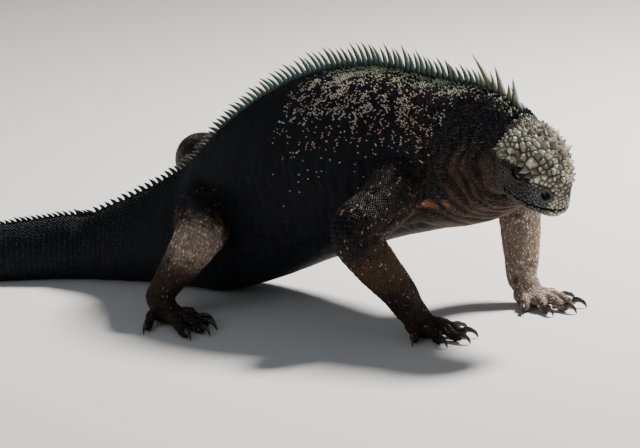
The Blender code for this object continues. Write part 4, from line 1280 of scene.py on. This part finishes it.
def clipped(outline, middle, way):
    """An outline cut by the line through a point, keeping the side away from a direction."""
    kept = []
    for (x0, y0), (x1, y1) in zip(outline, outline[1:] + outline[:1]):
        d0 = (x0 - middle[0]) * way[0] + (y0 - middle[1]) * way[1]
        d1 = (x1 - middle[0]) * way[0] + (y1 - middle[1]) * way[1]
        if d0 <= 0:
            kept.append((x0, y0))
        if (d0 < 0 < d1) or (d1 < 0 < d0):
            t = d0 / (d0 - d1)
            kept.append((x0 + (x1 - x0) * t, y0 + (y1 - y0) * t))
    return kept


def cell(points, radii, number, first, second):
    """The outline of the ground that one scute covers, in its two tangent directions."""
    here, radius = points[number], radii[number]
    outline = [(1.5 * radius * math.cos(angle), 1.5 * radius * math.sin(angle)) for angle in angles(14)]
    away = np.linalg.norm(points - here, axis=1)
    for other in np.flatnonzero((away < 1.7 * (radius + radii)) & (away > 1e-6)):
        gap = points[other] - here
        way = (gap @ first, gap @ second)
        length = math.hypot(*way)
        if length < 1e-6:
            continue
        share = radius / (radius + radii[other])
        way = (way[0] / length, way[1] / length)
        outline = clipped(outline, (way[0] * away[other] * share, way[1] * away[other] * share), way)
        if len(outline) < 3:
            return []
    tidy = [spot for k, spot in enumerate(outline) if math.dist(spot, outline[k - 1]) > 0.22 * radius]
    return tidy if len(tidy) > 2 else []


def ring_faces(start, sides, levels):
    """Triangles of a closed form whose points are rings from its root up and then its tip."""
    faces = []
    for level in range(levels - 1):
        low = start + level * sides
        for i in range(sides):
            n = (i + 1) % sides
            faces += [(low + i, low + n, low + sides + n), (low + i, low + sides + n, low + sides + i)]
    last = start + (levels - 1) * sides
    faces += [(last + i, last + (i + 1) % sides, last + sides) for i in range(sides)]
    return faces + [(start, start + i + 1, start + i) for i in range(1, sides - 1)]


# Rings of a scute from its root up: height, width, and colour from the groove's painted shade to that of its
# faces.
TALL_RINGS = ((-0.12, 1.0, 0.0), (0.07, 0.96, 0.4), (0.33, 0.64, 0.85), (0.70, 0.28, 1.0))
FLAT_RINGS = ((-0.35, 1.0, 0.0), (0.55, 0.84, 0.7), (0.92, 0.45, 1.0))


def scute_hues(place, base, top, draw):
    """The colours of a scute's groove, which is painted shade, of its faces and tip, and how stained it is."""
    tone = draw.random()
    tint = base * draw.uniform(0.7, 1.15)
    if top > TALL_SHARE and tone < 0.5:
        other = np.array(MOSS if tone < 0.22 else UMBER)
        tint = tint + (other - tint) * draw.uniform(0.35, 0.9)
    behind = smooth_step(11, 2, place[:1])[0]
    warm = top * max(0.85 if draw.random() < 0.6 else 0.1, behind)
    warm = warm + (0.3 if draw.random() < 0.3 else 0.05) * (1 - top)
    tip = tint * (1 - warm) + (np.array(OCHRE) * 1.3 + 0.06 * behind) * warm
    # Painted shade: the groove is a darkened copy of the scute's colour, darkest between tall scutes.
    return tint * (0.4 - 0.26 * top), tint, tip, warm


def make_scutes(skin, chains):
    """Scutes packed over the head: tall pyramids above, flat grains on its sides and under the jaw."""
    points, normals = points_of(skin.data)
    places = in_head(points)
    deep = np.min([away_from(places, beside(EYE_AT, side)) for side in (-1, 1)], axis=0)
    mine = np.flatnonzero((owners(chains, points) == OF_HEAD) & (deep > EYE_RADIUS + 0.8))
    draw = np.random.default_rng(3)
    roots, ups, radii, bare = scute_seeds(points[mine], normals[mine], draw)
    ups = unit(ups)
    forward, left, head_up = HEAD_MATRIX
    places = in_head(roots)
    tops = top_share(places)
    above = places[:, 2] - crown_rim(places[:, 0])
    edges = smooth_step(-2, 0, above) * smooth_step(6, 3, above)
    edges = edges * smooth_step(-14, -4, places[:, 0]) * (places[:, 0] < 44)
    lumps = rough(roots, 9.0)
    base = head_colours(places, rough(roots, HUE_SIZE))
    verts, faces, colours, spots = [], [], [], []
    for k in range(bare, len(roots)):
        up = ups[k]
        first = unit(np.cross(up, (0.3, 0.2, 1.0))[None])[0]
        second = np.cross(up, first)
        outline = cell(roots, radii, k, first, second)
        if not outline:
            continue
        radius, top, edge, place = radii[k], tops[k], edges[k], places[k]
        height = radius * (0.36 + top * (1.0 + 0.45 * lumps[k] + 0.5 * edge)) * draw.uniform(0.72, 1.28)
        lean = (-forward * draw.uniform(0.1, 0.5) + head_up * draw.uniform(0.0, 0.3)) * top * (1 - edge)
        lean = lean + (left * math.copysign(0.9, place[1]) - head_up * 0.3 - forward * 0.3) * edge
        lean = lean - up * (lean @ up)
        cx, cy = (sum(values) / len(outline) for values in zip(*outline))
        groove = 1 - min(0.16 / radius, 0.12)
        groove_shade, tint, tip, warm = scute_hues(place, base[k], top, draw)
        spot = np.array(((place[0] + 30) / 110, math.atan2(place[1], place[2] + 4) / math.tau + 0.5))
        rings = TALL_RINGS if top > TALL_SHARE else FLAT_RINGS
        faces += ring_faces(len(verts), len(outline), len(rings))
        for rise, share, pale in rings:
            hue = groove_shade * (1 - pale) + tint * pale
            hue = hue * (1 - 0.35 * warm * (rise > 0.7)) + np.array(OCHRE) * 0.35 * warm * (rise > 0.7)
            for x, y in outline:
                flat = first * (cx + (x - cx) * share * groove) + second * (cy + (y - cy) * share * groove)
                verts.append(roots[k] + flat + up * height * rise + lean * height * max(rise, 0) ** 2)
                colours.append(hue)
                spots.append(spot + PATCH * 0.3 * share * np.array((x - cx, y - cy)) / radius)
        verts.append(roots[k] + first * cx + second * cy + up * height + lean * height)
        colours.append(tip)
        spots.append(spot)
    faces = np.array(faces)
    return coat_object("head_scutes", np.array(verts), faces, np.array(colours), np.array(spots)[faces])


def crest_at(place):
    """Height, step and lean of the crest at a place counted from the first trunk station."""
    if place < 0:
        height, step, lean = TAIL_CREST
        return height * (1 + place / (TAIL_ROWS + 4)), step, lean
    for ahead, behind in zip(CREST, CREST[1:]):
        if behind[0] <= place <= ahead[0]:
            share = (place - behind[0]) / (ahead[0] - behind[0])
            return tuple(b + (a - b) * share for a, b in zip(ahead[1:], behind[1:]))
    return CREST[0][1:]


CREST_PROBE = 0.02


def crest_spines():
    """Place along BODY, height, step and lean of the nape's spines, then of those along the ridge."""
    found = [(TAIL_ROWS + place, height, NAPE_STEP, lean) for place, height, lean in NAPE_SPINES]
    place = TAIL_ROWS + CREST[0][0]
    while place > CREST_END:
        found.append((place, *crest_at(place - TAIL_ROWS)))
        pace = math.dist(through(BODY, place)[:3], through(BODY, place - CREST_PROBE)[:3]) / CREST_PROBE
        closer = CREST_CLOSER if place > TAIL_ROWS else TAIL_CREST_CLOSER
        place -= crest_at(place - TAIL_ROWS)[1] * closer / pace
    return found


def spine_colours(place, share, front, tint):
    """A spine's colour: a dark root, teal or olive faces, pale in front as part colour and part painted
    highlight, and a pale or ochre tip.
    """
    nape, trunk = (smooth_step(low, high, np.array([place]))[0] for low, high in ((7.6, 8.2), (1.5, 4.0)))
    face = np.array(TEAL) * (1 - nape) + np.array(OLIVE) * nape
    face = face * (0.35 + 0.65 * trunk)
    pale = np.array(SPINE_EDGE_HIGHLIGHTS[0] if tint > 0.35 else SPINE_EDGE_HIGHLIGHTS[1])
    tip = np.array(SPINE_TIPS[0] if tint > 0.55 else SPINE_TIPS[1])
    root = np.array(SPINE_ROOT)
    body = root + (face - root) * min(share * 5, 1.0)
    # The front edge is paled, part colour and part painted highlight, mostly along the trunk.
    body = body + (pale - body) * 0.95 * front ** 1.5 * (0.15 + 0.85 * trunk) * min(share * 2.2, 1)
    edge = max(share - 0.66, 0) / 0.34
    body = body + (tip - body) * edge * (0.3 + 0.6 * trunk)
    return body * (0.5 + 0.5 * max(trunk, 0.3) + 0.3 * (tint - 0.5))


def spine_spots():
    """Places in a spine's own square of the bake map, for each corner of its triangles."""
    spots = []
    for level in range(SPINE_LEVELS - 1):
        for k in range(SPINE_SIDES):
            spots += [(k, level), (k + 1, level), (k + 1, level + 1)]
            spots += [(k, level), (k + 1, level + 1), (k, level + 1)]
    top = SPINE_LEVELS - 1
    for k in range(SPINE_SIDES):
        spots += [(k, top), (k + 1, top), (k + 0.5, top + 0.4)]
    spots += [(0, 0)] * (3 * (SPINE_SIDES - 2))
    return (np.array(spots) + 0.5) / (SPINE_SIDES + 1, SPINE_LEVELS + 1)


def make_crest(skin):
    """Curved, flattened spines from the nape to the tip of the tail, rooted in the skin."""
    tree = BVHTree.FromObject(skin, bpy.context.evaluated_depsgraph_get())
    draw = random.Random(11)
    verts, faces, colours, maps = [], [], [], []
    spines = crest_spines()
    grid = math.ceil(math.sqrt(len(spines)))
    spots = spine_spots()
    for number, (place, height, step, lean) in enumerate(spines):
        row, _, side, along = body_frame(place)
        up = along.cross(side).normalized()
        nape = number < len(NAPE_SPINES)
        height *= draw.uniform(0.95, 1.05) if nape else draw.uniform(0.85, 1.12)
        hit = tree.ray_cast((Vector(row[:3]) + up * 25) * UNIT, -up)[0]
        if hit is None:
            continue
        root = hit / UNIT
        width = 0.2 * height + 4.4 if nape else min(0.3 * height + 2.8, 0.88 * step)
        thickness = (0.8 if nape else 0.42) * width
        sway = draw.uniform(-0.07, 0.07)
        bend = lean * draw.uniform(0.85, 1.15) * (1 if nape else 1.3)
        bow = 1.25 if nape else 2.1
        tint = draw.random()
        faces += ring_faces(len(verts), SPINE_SIDES, SPINE_LEVELS)
        for level in range(SPINE_LEVELS):
            rise = -SPINE_SUNK + (height + SPINE_SUNK) * (level / (SPINE_LEVELS - 1))
            t = min(max(rise / height, 0.0), 1.0)
            size = ((1 - t) ** 0.85 if nape else (1 - t ** 2.7) ** 0.8 * (1 - 0.22 * t)) + 0.03
            centre = root + up * rise - along * height * bend * t ** bow + side * height * sway * t
            for angle in angles(SPINE_SIDES):
                spot = centre + along * width * 0.5 * size * math.cos(angle)
                verts.append(tuple(spot + side * thickness * 0.5 * size * math.sin(angle)))
                colours.append(spine_colours(place - TAIL_ROWS, t, max(math.cos(angle), 0), tint))
        verts.append(tuple(root + up * height * 1.02 - along * height * bend * 1.05 + side * height * sway))
        colours.append(spine_colours(place - TAIL_ROWS, 1.0, 0, tint))
        maps.append(np.array((number % grid, number // grid)) / grid + spots * 0.94 / grid)
    return coat_object("crest", np.array(verts), np.array(faces), np.array(colours), np.array(maps), True)


CLAW_LOWEST = 0.0002


def make_claw(name, end, along, radius):
    """A hooked claw, flatter below, that starts inside the toe's end and curves down to the floor."""
    root = Vector((end.x, end.y, radius + 1.0)) - along * CLAW_SUNK
    side = Vector((-along.y, along.x, 0))
    step = (CLAW_LENGTH + CLAW_SUNK) / (CLAW_STEPS - 1)
    rings = []
    for k in range(CLAW_STEPS):
        t = k / (CLAW_STEPS - 1)
        turn = math.radians(12 - 95 * t)
        if k:
            root = root + (along * math.cos(turn) + UP * math.sin(turn)) * step
        up = UP * math.cos(turn) - along * math.sin(turn)
        size = CLAW_RADIUS * (1 - t) ** 0.62 + 0.12
        ring = []
        for angle in angles(CLAW_SIDES):
            under = 0.82 if math.sin(angle) < -0.3 else 1.0
            spot = root + side * math.cos(angle) * size * 0.68 + up * math.sin(angle) * size * under
            ring.append(spot * UNIT)
        rings.append(ring)
    lowest = min(p.z for ring in rings for p in ring)
    lift = Vector((0, 0, max(CLAW_LOWEST - lowest, 0)))
    bm = bmesh.new()
    add_loft(bm, [[p + lift * (k / (CLAW_STEPS - 1)) for p in ring] for k, ring in enumerate(rings)])
    claw = new_object(name, bm)
    claw.data.shade_smooth()
    return claw


# Colours of the claws by the noise of their streaks.
HORN = ((0.35, (0.010, 0.009, 0.010)), (0.75, (0.075, 0.062, 0.052)))


def claw_material():
    """Black horn, glossy, a little paler in streaks."""
    material, shader, place = new_material("claw")
    streaks = add_node(material, "TexNoise", {"Vector": place, "Scale": 260.0, "Detail": 4.0})["Fac"]
    gloss = add_node(material, "MapRange", {"Value": streaks, "To Min": 0.22, "To Max": 0.42})["Result"]
    bump = add_node(material, "Bump", {"Height": streaks, "Strength": 0.25, "Distance": 0.0002})["Normal"]
    fill(shader, {"Base Color": add_ramp(material, streaks, HORN), "Roughness": gloss, "Normal": bump})
    return material


# Colours of the eye from its rim to its pupil.
IRIS = (
    (0.80, (0.012, 0.010, 0.008)), (0.88, (0.045, 0.024, 0.010)), (0.955, (0.085, 0.042, 0.016)),
    (0.985, (0.004, 0.003, 0.003)),
)


def eye_material(centre, gaze):
    """A dark pupil in a warm brown iris that darkens to its rim, under a wet coat."""
    material, shader, place = new_material("eye")
    out = add_node(material, "VectorMath", {0: place, 1: tuple(centre)}, operation="SUBTRACT")["Vector"]
    axis = tuple(gaze / (EYE_RADIUS * UNIT))
    toward = add_node(material, "VectorMath", {0: out, 1: axis}, operation="DOT_PRODUCT")["Value"]
    streaks = add_node(material, "TexNoise", {"Vector": place, "Scale": 900.0})["Fac"]
    sway = add_node(material, "Math", {0: streaks, 1: 0.04, 2: toward}, operation="MULTIPLY_ADD")["Value"]
    fill(shader, {"Base Color": add_ramp(material, sway, IRIS), "Roughness": 0.12})
    fill(shader, {"Coat Weight": 1.0, "Coat Roughness": 0.03})
    return material


FLESH_NODES = [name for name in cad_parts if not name.startswith(("eye", "claw"))]

add_studio(*add_camera())

skin = make_form()
chains = make_chains()
add_folds(skin, chains)
open_head(skin)
skin.data.shade_smooth()
paint(skin.data, skin_colours(skin, chains))
skin.data.materials.clear()
skin.data.materials.append(skin_material("skin", 0.55, 0.0012, 0.0004, 0.35))
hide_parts(*FLESH_NODES)
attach(skin, "root")

coat = skin_material("scales", 0.40, 0.0006, 0.0001, 0.3)
for piece in make_scales(skin, chains):
    piece.data.materials.append(coat)
    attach(piece, "root")

scutes = make_scutes(skin, chains)
scutes.data.materials.append(skin_material("scutes", 0.55, 0.0008, 0.0002, 0.22))
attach(scutes, "root")

crest = make_crest(skin)
crest.data.materials.append(skin_material("crest", 0.38, 0.0010, 0.0001, 0.25))
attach(crest, "root")

horn = claw_material()
for limb_name, _, limb_foot, limb_digits, limb_inner in LIMBS:
    for k, (_, toe_end, toe_way, toe_radius) in enumerate(digit_paths(limb_foot, limb_digits, limb_inner)):
        claw = make_claw(f"horn_{limb_name}_{k + 1}", toe_end, toe_way, toe_radius)
        claw.data.materials.append(horn)
        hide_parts(f"claw_{limb_name}_{k + 1}")
        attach(claw, "root")

for eye_name, eye_side in (("right", -1), ("left", 1)):
    eye_centre = head_side(EYE_AT, eye_side)
    eye = ball(eye_centre, EYE_RADIUS * UNIT)
    eye.name = f"eyeball_{eye_name}"
    eye.data.shade_smooth()
    gaze = HEAD_AXES[1] * eye_side + HEAD_AXES[0] * 0.12
    eye.data.materials.append(eye_material(eye_centre, gaze.normalized()))
    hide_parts(f"eye_{eye_name}")
    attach(eye, "root")
